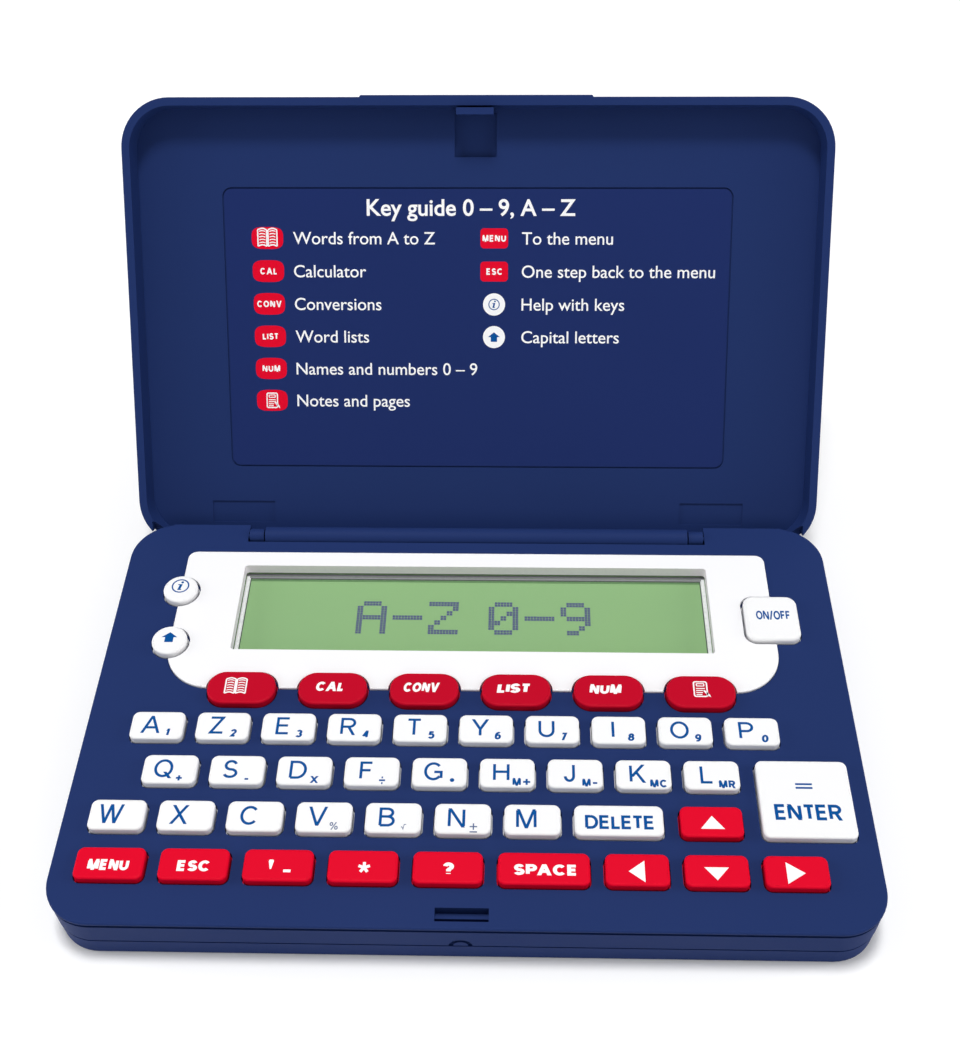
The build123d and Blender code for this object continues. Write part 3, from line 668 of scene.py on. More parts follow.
class Press:
    """Turns lettering and outlines into thin films of ink.

    Gaps and kerning are in cap heights, and crossing films differ by hair steps in height, so that
    they never lie in one plane.
    """

    thickness = 0.02
    sunk = 0.02
    stroke_step = 0.002
    letter_gap = 0.17
    word_gap = 0.45
    tight = 0.4
    kerning: dict[str, float] = {
        "ET": -0.09, "TE": -0.05, "LE": -0.05, "ST": -0.08, "PA": -0.08, "LI": -0.05}
    curve_steps = 5

    def __init__(self) -> None:
        """Measures the height of a capital at size one."""
        self.capital = float(np.ptp(self._letters("H", 0.0, 1.0)[0][:, 1]))
        self.alphabet = StrokeAlphabet()

    def _letters(self, line: str, weight: float, spacing: float) -> tuple[np.ndarray, list[list[int]]]:
        """Sets a line in the built-in typeface and reads it back as a mesh.

        Args:
            line: The line of lettering.
            weight: Growth of the strokes, in units of the type size.
            spacing: Letter spacing.

        Returns:
            Points, (n, 3), and faces at a type size of one.
        """
        curve = bpy.data.curves.new("line", "FONT")
        curve.body = line
        curve.offset = weight
        curve.extrude = 0.5
        curve.resolution_u = self.curve_steps
        curve.space_character = spacing
        carrier = bpy.data.objects.new("line", curve)
        bpy.context.scene.collection.objects.link(carrier)
        bpy.context.view_layer.update()
        mesh = bpy.data.meshes.new_from_object(carrier)
        points = np.empty(len(mesh.vertices) * 3)
        mesh.vertices.foreach_get("co", points)
        loops = np.empty(len(mesh.loops), int)
        mesh.loops.foreach_get("vertex_index", loops)
        totals = np.empty(len(mesh.polygons), int)
        mesh.polygons.foreach_get("loop_total", totals)
        faces = [face.tolist() for face in np.split(loops, np.cumsum(totals)[:-1])]
        bpy.data.objects.remove(carrier)
        bpy.data.curves.remove(curve)
        bpy.data.meshes.remove(mesh)
        return points.reshape(-1, 3), faces

    def line(self, text: str, style: Type, align: Align = Align.CENTRE) -> Shell:
        """Prints a line of lettering whose capitals are centred on y = 0.

        Args:
            text: The line.
            style: Its style.
            align: Whether x = 0 is the middle or the left-hand end.

        Returns:
            The films of ink on z = 0.
        """
        points, faces = self._letters(text, style.weight, style.spacing)
        size = style.cap / self.capital
        low, high = points[:, 0].min(), points[:, 0].max()
        start = low if align is Align.LEFT else (low + high) / 2
        flat = np.column_stack([
            (points[:, 0] - start) * size * style.stretch,
            points[:, 1] * size - style.cap / 2,
            (points[:, 2] + 0.5) * (self.thickness + self.sunk) - self.sunk,
        ])
        return Shell(flat, faces)

    def capitals(self, text: str, style: Type) -> Shell:
        """Prints a line of drawn capitals, centred on the origin.

        The letters are set side by side, then leaned: x grows by y·tan(lean).

        Args:
            text: The line.
            style: Its style, with the weight as a share of the cap height.

        Returns:
            The films of ink on z = 0.
        """
        films = []
        pen = 0.0
        for place, sign in enumerate(text):
            if sign == " ":
                pen += self.word_gap
                continue
            pen += self.kerning.get(text[max(place - 1, 0):place + 1], 0.0)
            for step, outline in enumerate(self.alphabet.strokes(sign, style.weight)):
                films.append(self.shape(outline + np.array([pen, 0.0]), step))
            pen += self.alphabet.glyphs[sign][0] + self.letter_gap * style.spacing
        whole = joined(films)
        across = whole.points[:, 0]
        up = whole.points[:, 1] - 0.5
        across = (across - (across.min() + across.max()) / 2) * style.stretch
        across = across + up * math.tan(math.radians(style.lean))
        points = np.column_stack([across * style.cap, up * style.cap, whole.points[:, 2]])
        return Shell(points, whole.faces)

    def fitted(self, text: str, cap: float, weight: float, width: float, lean: float = 0.0) -> Shell:
        """Prints drawn capitals stretched to an exact width.

        Args:
            text: The line.
            cap: Cap height.
            weight: Stroke as a share of the cap height.
            width: Width of the whole line.
            lean: Lean in degrees.

        Returns:
            The films of ink on z = 0.
        """
        plain = self.capitals(text, Type(cap, weight, spacing=self.tight, lean=lean))
        stretch = width / float(np.ptp(plain.points[:, 0]))
        return self.capitals(text, Type(cap, weight, stretch, self.tight, lean))

    def shape(self, outline: np.ndarray, step: int = 0) -> Shell:
        """Prints one filled outline, a number of hair steps above the plain film."""
        return film(outline, self.thickness + step * self.stroke_step, self.sunk)

    def loop(self, outer: np.ndarray, inner: np.ndarray) -> Shell:
        """Prints the band between two outlines."""
        return ring(outer, inner, self.thickness, self.sunk)


@dataclass(frozen=True)
class Pictograms:
    """Small signs that the keys and the legend plate share. Each is drawn about its own middle.

    The stroke has its full width on a sign of the given book, page or ring size, and follows the
    size of any other. Fine lines inside a sign are a share of it.
    """

    press: Press
    stroke: float = 0.26
    fine: float = 0.75
    full_book: float = 3.9
    full_page: float = 3.5
    full_ring: float = 3.3
    book_lines: tuple[float, ...] = (-0.4, -0.27, -0.13, 0.01, 0.15, 0.29, 0.4)
    book_spine: float = 0.035
    book_leaf: float = 0.44
    book_swell: float = 0.07
    page_shape: float = 0.74
    page_lines: tuple[float, ...] = (0.46, 0.4, 0.34, 0.3)
    page_line_top: float = 0.04
    page_line_pitch: float = 0.13

    def book(self, size: float) -> Shell:
        """An open book: each page is a frame with wavy lines, y = level + a·sin(pi·x).

        Args:
            size: Width of the book.

        Returns:
            Films of ink.
        """
        stroke = self.stroke * size / self.full_book
        across = np.linspace(0.0, 1.0, 14)
        swell = self.book_swell * size * np.sin(np.pi * across)
        lines = self.book_lines
        shells = []
        for side in (-1, 1):
            x = side * (self.book_spine + across * self.book_leaf) * size
            for index, level in enumerate(lines):
                border = index in (0, len(lines) - 1)
                span = slice(None) if border else slice(2, -2)
                path = np.column_stack([x, level * size + swell])[span]
                width = stroke if border else stroke * self.fine
                shells.append(self.press.shape(ribbon(path[::side], width), index % 2))
            for step, end in ((2, 0), (3, -1)):
                upright = np.array([[x[end], lines[0] * size], [x[end], lines[-1] * size]])
                shells.append(self.press.shape(ribbon(upright, stroke), step + (side + 1)))
        return joined(shells)

    def page(self, size: float) -> Shell:
        """A written page: a frame, a heading box, four lines and a pencil across the corner.

        Args:
            size: Height of the page.

        Returns:
            Films of ink.
        """
        stroke = self.stroke * size / self.full_page
        wide = self.page_shape * size
        outer = rounded_box(wide, size, 0.12 * size)
        inner = rounded_box(wide - 2 * stroke, size - 2 * stroke, 0.06 * size)
        shells = [self.press.loop(outer, inner)]
        heading = rounded_box(0.44 * size, 0.2 * size, 0.05 * size)
        inset = rounded_box(0.44 * size - stroke * 1.4, 0.2 * size - stroke * 1.4, 0.02 * size)
        shells.append(self.press.loop(heading, inset).moved(0, 0.27 * size))
        for index, length in enumerate(self.page_lines):
            indent = -(self.page_lines[0] - length) * size / 2
            line = bar(length * size, stroke * self.fine) + np.array([indent, 0])
            height = (self.page_line_top - self.page_line_pitch * index) * size
            shells.append(self.press.shape(line).moved(0, height))
        pencil = np.array([[0.12, -0.1], [0.2, -0.04], [0.46, -0.36], [0.5, -0.5], [0.36, -0.42]])
        shells.append(self.press.shape(pencil[::-1] * size))
        return joined(shells)

    def information(self, diameter: float) -> Shell:
        """A leaning lower-case i, with a serif at its head and at its foot, in a ring.

        Args:
            diameter: Outer diameter of the ring.

        Returns:
            Films of ink.
        """
        stroke = self.stroke * diameter / self.full_ring
        outer = superellipse(diameter, diameter, 2.0)
        inner = superellipse(diameter - 2 * stroke, diameter - 2 * stroke, 2.0)
        shells = [self.press.loop(outer, inner)]
        stem = (-0.07, -0.3), (0.03, 0.13), 1.85
        head = (-0.06, 0.07), (-0.045, 0.13), 2.2
        foot = (-0.02, -0.3), (-0.005, -0.24), 2.2
        for step, (low, high, width) in enumerate((stem, head, foot)):
            ends = np.array([low, high]) * diameter
            shells.append(self.press.shape(slant(ends[0], ends[1], width * stroke), step))
        dot = superellipse(1.9 * stroke, 1.9 * stroke, 2.0, 20) + np.array([0.08, 0.27]) * diameter
        return joined([*shells, self.press.shape(dot)])

    def shift(self, width: float) -> Shell:
        """A broad upward arrow on a square foot.

        Args:
            width: Width of the arrow's head.

        Returns:
            A film of ink.
        """
        half, tip, foot = width / 2, 0.4 * width, 0.27 * width
        outline = np.array([[-foot, -tip], [foot, -tip], [foot, 0], [half, 0], [0, tip],
                            [-half, 0], [-foot, 0]])
        return self.press.shape(outline)

    def triangle(self, width: float, height: float, turn: int) -> Shell:
        """A solid arrow head.

        Args:
            width: Length of its base.
            height: From the base to the tip.
            turn: Quarter turns anticlockwise from pointing up.

        Returns:
            A film of ink.
        """
        outline = np.array([[-width / 2, -height / 2], [width / 2, -height / 2], [0, height / 2]])
        return self.press.shape(turned(outline, turn * np.pi / 2))


# ---------------------------------------------------------------- pieces

@dataclass
class Workshop:
    """Makes Blender pieces out of shells and keeps count of them."""

    wardrobe: Wardrobe
    made: list[str] = field(default_factory=list)

    def piece(self, name: str, coats: list[tuple[Shell, Finish]], body: str,
              slot: str | None = None) -> bpy.types.Object:
        """Makes one piece, with a material slot for each coat, and lets it ride on a body.

        Args:
            name: The piece's name.
            coats: Shells in millimetres, each with its finish.
            body: The CAD body that carries the piece.
            slot: The record's material slot that the piece belongs to. Not used.

        Returns:
            The new object.
        """
        whole = joined([shell for shell, _ in coats])
        mesh = bpy.data.meshes.new(name)
        mesh.from_pydata((whole.points * MM).tolist(), [], whole.faces)
        kinds: list[Finish] = []
        for _, finish in coats:
            if finish not in kinds:
                kinds.append(finish)
        for finish in kinds:
            mesh.materials.append(self.wardrobe.get(finish))
        index = np.concatenate([
            np.full(len(shell.faces), kinds.index(finish)) for shell, finish in coats])
        mesh.polygons.foreach_set("material_index", index.astype(np.int32))
        mesh.update()
        mesh.validate()
        made = bpy.data.objects.new(name, mesh)
        bpy.context.scene.collection.objects.link(made)
        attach(made, body)
        self.made.append(name)
        return made


@dataclass
class Housing:
    """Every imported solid, dressed by its material slot."""

    wardrobe: Wardrobe

    def dress(self) -> None:
        """Puts each solid's finish into its object's material slots."""
        for entry in frame["record"]["subparts"]:
            solid = frame["nodes"][entry["node"]]
            finish = self.wardrobe.get(Finish[entry["material_slot"].upper()])
            if not solid.material_slots:
                solid.data.materials.append(finish)
            for place in solid.material_slots:
                place.material = finish
            log.info("dressed %s in %s", entry["node"], finish.name)


@dataclass(frozen=True)
class Word:
    """A word fitted to a width on one key. Its place is from the middle of the key's top."""

    key: str
    text: str
    cap: float
    weight: float
    width: float
    place: tuple[float, float]
    lean: float = 0.0


@dataclass(frozen=True)
class Sign:
    """A pictogram's size, and its place from the middle of the key's top."""

    size: float
    place: tuple[float, float]


@dataclass
class KeyLegends:
    """The legends printed on the keys.

    Offsets are from the middle of a key. A main letter stands to the left of the middle, and its
    second sign is small, down and to the right. An arrow is its key, base, height, quarter turns
    from pointing up, and offset.
    """

    workshop: Workshop
    press: Press
    signs: Pictograms
    letter: Type = Type(3.6, 0.13, 1.02)
    letter_offset: tuple[float, float] = (-1.02, 0.05)
    digit: Type = Type(1.55, 0.22, 1.2, lean=6.0)
    digit_offset: tuple[float, float] = (2.08, -1.55)
    operator: Type = Type(1.35, 0.25, 1.0)
    operator_offset: tuple[float, float] = (1.88, -1.85)
    memory: Type = Type(1.5, 0.23, 1.02, 0.8)
    memory_offset: tuple[float, float] = (2.38, -1.85)
    fine_caps: tuple[float, ...] = (1.4, 1.0, 1.8)
    fine_weight: float = 0.12
    fine_offset: tuple[float, float] = (1.8, -1.75)
    digits: str = "1234567890"
    point_diameter: float = 0.75
    point_offset: tuple[float, float] = (2.2, -1.65)
    oval_words: tuple[Word, ...] = (
        Word("f2", "CAL", 2.05, 0.25, 4.8, (-0.5, 0.25), 7.0),
        Word("f3", "CONV", 2.05, 0.25, 6.4, (-0.5, 0.25), 7.0),
        Word("f4", "LIST", 2.05, 0.25, 6.0, (-0.5, 0.25), 7.0),
        Word("f5", "NUM", 2.05, 0.25, 5.8, (-0.5, 0.25), 7.0))
    bottom_words: tuple[Word, ...] = (
        Word("control", "MENU", 1.95, 0.25, 6.7, (-0.07, -0.4)),
        Word("escape", "ESC", 1.95, 0.25, 5.2, (0.0, -0.4)),
        Word("space", "SPACE", 1.95, 0.25, 9.9, (0.15, -0.3)))
    question: Word = Word("question", "?", 2.3, 0.25, 1.75, (0.13, -0.35))
    delete: Word = Word("delete", "DELETE", 2.6, 0.19, 11.2, (0.0, -0.4))
    equals: Word = Word("enter", "=", 1.4, 0.25, 2.8, (-0.05, 2.4))
    enter: Word = Word("enter", "ENTER", 3.0, 0.19, 11.0, (0.0, -2.65))
    power: Word = Word("power", "ON/OFF", 2.1, 0.19, 6.2, (0.2, 0.47))
    arrows: tuple[tuple[str, float, float, int, tuple[float, float]], ...] = (
        ("up", 3.95, 2.45, 0, (0.05, -0.2)), ("down", 3.95, 2.3, 2, (-0.08, -0.6)),
        ("left", 3.85, 2.6, 1, (-0.14, -0.35)), ("right", 3.85, 3.0, 3, (-0.2, -0.3)))
    book: Sign = Sign(3.9, (-0.97, 0.1))
    notes: Sign = Sign(3.45, (-0.08, 0.45))
    info: Sign = Sign(3.35, (-0.1, 0.6))
    shift: Sign = Sign(2.9, (-0.05, 0.55))
    star_arms: int = 5
    star_arm: tuple[float, float] = (0.5, 1.0)
    star_reach: float = 0.47
    star_offset: tuple[float, float] = (0.25, -0.3)
    tick: tuple[tuple[float, float], ...] = (
        (-0.12, -0.85), (0.12, -0.85), (0.42, 0.6), (0.3, 0.85), (-0.3, 0.85), (-0.42, 0.6))
    tick_offset: tuple[float, float] = (-1.13, 0.05)
    dash: tuple[float, float] = (1.2, 0.5)
    dash_offset: tuple[float, float] = (1.57, -1.1)

    def top(self, key: str) -> np.ndarray:
        """Middle of a key's top face, in millimetres."""
        low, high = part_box(f"key_{key}")
        return np.array([(low.x + high.x) / 2, (low.y + high.y) / 2, high.z]) / MM

    def stamp(self, key: str, coats: list[tuple[Shell, Finish]]) -> None:
        """Prints coats, drawn about the origin, on one key.

        Args:
            key: The key's short name.
            coats: Shells and their inks.
        """
        x, y, z = self.top(key)
        moved = [(shell.moved(x, y, z), finish) for shell, finish in coats]
        slot = next(entry["material_slot"] for entry in frame["record"]["subparts"]
                    if entry["node"] == f"key_{key}")
        self.workshop.piece(f"legend_{key}", moved, f"key_{key}", slot)

    def letters(self) -> None:
        """Prints the 26 letter keys with their second signs."""
        blue, grey = Finish.BLUE_INK, Finish.GREY_INK
        second: dict[str, tuple[str, Type, tuple[float, float], Finish]] = {}
        for key, digit in zip("azertyuiop", self.digits):
            second[key] = (digit, self.digit, self.digit_offset, blue)
        for key, sign in zip("qsdf", "+-×÷"):
            second[key] = (sign, self.operator, self.operator_offset, blue)
        for key, sign in zip("hjkl", ("M+", "M-", "MC", "MR")):
            second[key] = (sign, self.memory, self.memory_offset, blue)
        for key, sign, cap in zip("vbn", "%√±", self.fine_caps):
            second[key] = (sign, Type(cap, self.fine_weight), self.fine_offset, grey)
        for key in "azertyuiopqsdfghjklwxcvbnm":
            coats = [(self.press.capitals(key.upper(), self.letter).moved(*self.letter_offset), blue)]
            if key in second:
                sign, style, offset, ink = second[key]
                coats.append((self.press.capitals(sign, style).moved(*offset), ink))
            if key == "g":
                point = superellipse(self.point_diameter, self.point_diameter, 2.0, 24)
                coats.append((self.press.shape(point).moved(*self.point_offset), blue))
            self.stamp(key, coats)

    def words(self, words: tuple[Word, ...], ink: Finish) -> None:
        """Prints all the words of one key as one piece.

        Args:
            words: Words that stand on the same key.
            ink: Their ink.
        """
        coats = []
        for word in words:
            shell = self.press.fitted(word.text, word.cap, word.weight, word.width, word.lean)
            coats.append((shell.moved(*word.place), ink))
        self.stamp(words[0].key, coats)

    def star(self) -> Shell:
        """Draws a star of bars that stand round the middle, each a hair higher than the last.

        Returns:
            Films of ink.
        """
        arm = bar(*self.star_arm) + np.array([0, self.star_reach])
        turn = 2 * np.pi / self.star_arms
        return joined([self.press.shape(turned(arm, step * turn), step)
                       for step in range(self.star_arms)])

    def red_keys(self) -> None:
        """Prints the oval keys, the bottom row and the arrows in white."""
        white = Finish.WHITE_INK
        for word in self.oval_words:
            self.words((word,), white)
        self.stamp("book", [(self.signs.book(self.book.size).moved(*self.book.place), white)])
        self.stamp("notes", [(self.signs.page(self.notes.size).moved(*self.notes.place), white)])
        for word in self.bottom_words:
            self.words((word,), white)
        self.stamp("apostrophe", [
            (self.press.shape(np.array(self.tick)).moved(*self.tick_offset), white),
            (self.press.shape(bar(*self.dash)).moved(*self.dash_offset), white)])
        self.stamp("star", [(self.star().moved(*self.star_offset), white)])
        self.words((self.question,), white)
        for key, base, height, turn, place in self.arrows:
            self.stamp(key, [(self.signs.triangle(base, height, turn).moved(*place), white)])

    def white_keys(self) -> None:
        """Prints the white keys beside the letters in blue."""
        blue = Finish.BLUE_INK
        for words in ((self.delete,), (self.equals, self.enter), (self.power,)):
            self.words(words, blue)
        self.stamp("info", [(self.signs.information(self.info.size).moved(*self.info.place), blue)])
        self.stamp("shift", [(self.signs.shift(self.shift.size).moved(*self.shift.place), blue)])

    def build(self) -> None:
        """Prints every key."""
        self.letters()
        self.red_keys()
        self.white_keys()


@dataclass
class LegendPlatePrint:
    """The guide printed on the plate in the lid.

    Heights are distances from the hinge axis along the open lid, and x is the part's own x.
    """

    workshop: Workshop
    press: Press
    signs: Pictograms
    title_height: float = 63.9
    title_x: float = -1.1
    title: Type = Type(3.0, 0.016, 1.0)
    text: Type = Type(2.3, 0.004, 1.0)
    pill_text: Type = Type(1.25, 0.22, 1.0)
    first_row: float = 58.1
    row_pitch: float = 6.32
    pill_x: float = -40.6
    pill_size: tuple[float, float] = (6.15, 4.2)
    left_text_x: float = -35.6
    box_x: float = 3.4
    box_size: tuple[float, float] = (5.35, 3.8)
    box_corner: float = 0.7
    pill_power: float = 3.4
    disc_diameter: float = 4.3
    right_text_x: float = 8.75
    book_size: float = 3.9
    page_size: float = 3.1
    ring_size: float = 2.2
    arrow_size: float = 2.3
    heading: str = "Key guide 0 – 9, A – Z"
    left: tuple[tuple[str, str], ...] = (
        ("Words from A to Z", "book"), ("Calculator", "CAL"), ("Conversions", "CONV"),
        ("Word lists", "LIST"), ("Names and numbers 0 – 9", "NUM"), ("Notes and pages", "page"))
    right: tuple[tuple[str, str], ...] = (
        ("To the menu", "MENU"), ("One step back to the menu", "ESC"),
        ("Help with keys", "ring"), ("Capital letters", "arrow"))

    def __post_init__(self) -> None:
        """Works out the plate's frame from the hinge joint and the plate's own mesh."""
        joint = next(j for j in frame["joints"] if j["name"] == "lid_hinge")
        angle = math.radians(-joint["range_deg"][0])
        along = np.array([0.0, -math.cos(angle), math.sin(angle)])
        inward = np.array([0.0, -math.sin(angle), -math.cos(angle)])
        hinge = np.array(joint["pos_m"]) / MM
        level = ((solid_points("legend_plate") - hinge) @ inward).max()
        self.origin = hinge + level * inward
        self.axes = np.array([[1.0, 0.0, 0.0], along, inward])

    def mark(self, sign: str) -> Shell:
        """Draws the sign that stands before a line.

        Args:
            sign: The name of a pictogram, or the word on a key.

        Returns:
            Films of ink about the origin.
        """
        drawn = {"book": (self.signs.book, self.book_size), "page": (self.signs.page, self.page_size),
                 "ring": (self.signs.information, self.ring_size),
                 "arrow": (self.signs.shift, self.arrow_size)}
        if sign in drawn:
            draw, size = drawn[sign]
            return draw(size)
        return self.press.capitals(sign, self.pill_text)

    def row(self, index: int, line: str, sign: str, ground: np.ndarray, inks: tuple[Finish, Finish],
            places: tuple[float, float]) -> list[tuple[Shell, Finish]]:
        """Prints one row: a filled ground, the sign on it and the line beside it.

        Args:
            index: The row's number from the top.
            line: The line of lettering.
            sign: The sign.
            ground: Outline of the ground about the origin.
            inks: Inks of the ground and the sign.
            places: The x of the ground's middle and of the line's left-hand end.

        Returns:
            The coats of ink in the plate's frame.
        """
        height = self.first_row - index * self.row_pitch
        sign_x, line_x = places
        return [
            (self.press.shape(ground).moved(sign_x, height), inks[0]),
            (self.mark(sign).moved(sign_x, height, self.press.thickness), inks[1]),
            (self.press.line(line, self.text, Align.LEFT).moved(line_x, height), Finish.WHITE_INK)]

    def build(self) -> None:
        """Prints the title, the two columns of signs and their lines."""
        white, red, blue = Finish.WHITE_INK, Finish.RED_INK, Finish.BLUE_INK
        title = self.press.line(self.heading, self.title).moved(self.title_x, self.title_height)
        coats = [(title, white)]
        pill = superellipse(*self.pill_size, self.pill_power)
        for index, (line, sign) in enumerate(self.left):
            coats += self.row(index, line, sign, pill, (red, white), (self.pill_x, self.left_text_x))
        box = rounded_box(*self.box_size, self.box_corner)
        disc = superellipse(self.disc_diameter, self.disc_diameter, 2.0)
        for index, (line, sign) in enumerate(self.right):
            ground, inks = (box, (red, white)) if sign.isupper() else (disc, (white, blue))
            coats += self.row(index, line, sign, ground, inks, (self.box_x, self.right_text_x))
        placed = [(shell.placed(self.origin, self.axes), finish) for shell, finish in coats]
        self.workshop.piece("legend_plate_print", placed, "lid", "legend_film")


@dataclass
class Display:
    """What shows on the liquid crystal glass: its sealed edge and the dark dots of one line.

    The signs are 5 by 7 cells, each cell two dots square. The seal is a dark line between the
    picture and a band along the rear edge and both side edges. Along the rear edge the band is a
    grey painted shade, the line is widened into painted shadow, and a green strip of painted shadow
    lies in front of it. Bands of the same kinds lie on the module's ledge round the glass, just
    under the lens, and a lining covers the window's wall.
    """

    workshop: Workshop
    press: Press
    line: str = "A-Z 0-9"
    pitch: float = Finish.DISPLAY.value.dot_pitch
    dot: float = 0.5
    # The band along the rear edge is the seal's grey darkened into painted shade
    rear_band: float = 0.4
    side_band: float = 0.16
    ledge: float = 0.6
    seal_line: float = 0.22
    # The rear line is the seal's black line widened into painted shadow, and the rear shade is a green strip of
    # painted shadow
    rear_line: float = 0.32
    rear_shade: float = 0.45
    lens_lap: float = 0.5
    window_corner: float = 0.6
    lining: float = 0.015
    under_lens: float = -0.016
    cell_dots: int = 2
    sign_cells: int = 7
    gap_cells: int = 1
    raised: float = 0.02
    flat: float = 0.01
    glyphs: dict[str, tuple[str, ...]] = field(default_factory=lambda: {
        "A": ("01110", "10001", "10001", "11111", "10001", "10001", "10001"),
        "Z": ("11111", "00001", "00010", "00100", "01000", "10000", "11111"),
        "0": ("01110", "10001", "10011", "10101", "11001", "10001", "01110"),
        "9": ("01110", "10001", "10001", "01111", "00001", "00010", "01100"),
        "-": ("00000", "00000", "00000", "11111", "00000", "00000", "00000"),
        " ": ("000", "000", "000", "000", "000", "000", "000"),
    })

    def mask(self) -> np.ndarray:
        """Lit dots of the line.

        Returns:
            A boolean array, rows from the top and columns from the left.
        """
        cells = []
        for index, sign in enumerate(self.line):
            if index:
                cells.append(np.zeros((self.sign_cells, self.gap_cells), int))
            cells.append(np.array([[int(mark) for mark in row] for row in self.glyphs[sign]]))
        lit = np.concatenate(cells, axis=1)
        return np.kron(lit, np.ones((self.cell_dots, self.cell_dots), int)).astype(bool)

    def glass(self) -> tuple[np.ndarray, np.ndarray]:
        """Finds the sunk glass in the module's mesh: the highest flat below its top.

        Returns:
            Its lowest and highest corners, in millimetres.
        """
        points = solid_points("display_module")
        below = points[points[:, 2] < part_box("display_module")[1].z / MM - self.flat]
        sunk = below[below[:, 2] > below[:, 2].max() - self.flat]
        return sunk.min(axis=0), sunk.max(axis=0)

    def strip(self, left: float, right: float, front: float, rear: float, level: float,
              step: int) -> Shell:
        """A printed strip between four straight sides.

        Args:
            left: Its lowest x.
            right: Its highest x.
            front: Its lowest y.
            rear: Its highest y.
            level: The height of its ground.
            step: Hair steps above the plain film.

        Returns:
            The film.
        """
        middle = np.array([(left + right) / 2, (front + rear) / 2])
        return self.press.shape(bar(right - left, rear - front) + middle, step).moved(0, 0, level)

    def edge(self) -> list[tuple[Shell, Finish]]:
        """Prints the seal's bands and lines on the glass, and the bands on the ledge round it. Along the
        rear edge the grey bands are painted shade, the black line is widened into painted shadow, and a
        green strip of painted shadow lies in front of it.

        Returns:
            The coats of ink.
        """
        low, high = self.glass()
        level = low[2]
        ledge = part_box("display_module")[1].z / MM + self.under_lens
        front, rear = low[1] - self.ledge, high[1] + self.ledge
        ends = (low[0] - self.ledge, high[0] + self.ledge)
        left, right = low[0] + self.side_band, high[0] - self.side_band
        left_line, right_line = left + self.seal_line, right - self.seal_line
        seal = high[1] - self.rear_band
        dark = seal - self.rear_line
        shade = dark - self.rear_shade
        grey, pale, black = Finish.SEAL_GREY, Finish.SEAL_PALE, Finish.SEAL_LINE
        return [
            # The grey rear bands on the ledge and on the glass are painted shade
            (self.strip(*ends, high[1], rear, ledge, 0), grey),
            (self.strip(ends[0], low[0], front, high[1], ledge, 1), pale),
            (self.strip(high[0], ends[1], front, high[1], ledge, 1), pale),
            (self.strip(low[0], high[0], seal, high[1], level, 0), grey),
            (self.strip(low[0], left, low[1], seal, level, 1), pale),
            (self.strip(right, high[0], low[1], seal, level, 1), pale),
            # The rear black line is widened into painted shadow, and the green strip in front of it is painted
            # shadow
            (self.strip(left, right, dark, seal, level, 2), black),
            (self.strip(left_line, right_line, shade, dark, level, 2), Finish.SEAL_SHADE),
            (self.strip(left, left_line, low[1], dark, level, 2), black),
            (self.strip(right_line, right, low[1], dark, level, 2), black)]

    def wall(self) -> Shell:
        """Lines the wall of the window, from the lens up to the face of the fascia.

        Returns:
            A thin ring whose outer side is sunk into the wall.
        """
        low, high = (np.array(corner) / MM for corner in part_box("display_lens"))
        foot, top = high[2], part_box("screen_fascia")[1].z / MM
        width, depth = (high - low)[:2] - 2 * self.lens_lap
        outer = rounded_box(width + 2 * self.lining, depth + 2 * self.lining, self.window_corner)
        inner = rounded_box(width - 2 * self.lining, depth - 2 * self.lining, self.window_corner)
        return ring(outer, inner, top - foot - self.lining, 0.0).moved(*((low + high) / 2)[:2], foot)

    def dots(self) -> Shell:
        """Draws one thin square per lit dot: a table of eight corners added to the dots' middles.

        Returns:
            The squares, half in the glass.
        """
        low, high = self.glass()
        lit = self.mask()
        rows, columns = np.nonzero(lit)
        middle = (low + high)[:2] / 2
        centre = np.column_stack([
            middle[0] + (columns - (lit.shape[1] - 1) / 2) * self.pitch,
            middle[1] - (rows - (lit.shape[0] - 1) / 2) * self.pitch,
            np.full(len(rows), high[2])])
        half = self.dot / 2
        corner = np.array([[x, y, z] for z in (-self.raised, self.raised)
                           for x, y in ((-half, -half), (half, -half), (half, half), (-half, half))])
        points = (centre[:, None, :] + corner[None, :, :]).reshape(-1, 3)
        quads = np.array([
            [3, 2, 1, 0], [4, 5, 6, 7], [0, 1, 5, 4], [1, 2, 6, 5], [2, 3, 7, 6], [3, 0, 4, 7]])
        first = len(corner) * np.arange(len(rows))[:, None, None]
        return Shell(points, (quads[None, :, :] + first).reshape(-1, 4).tolist())

    def build(self) -> None:
        """Prints the glass's edge, lines the window and lights the dots."""
        pieces = (("display_edge", self.edge(), "display"),
                  ("window_lining", [(self.wall(), Finish.WINDOW_WALL)], "white_fascia"),
                  ("display_dots", [(self.dots(), Finish.DISPLAY_DOTS)], "display"))
        for name, coats, slot in pieces:
            self.workshop.piece(name, coats, "base", slot)


# ---------------------------------------------------------------- studio

@dataclass(frozen=True)
class Lamp:
    """A square soft lamp: its place, the point that it faces and its side in metres, power in watts."""

    name: str
    place: tuple[float, float, float]
    target: tuple[float, float, float]
    size: float
    power: float


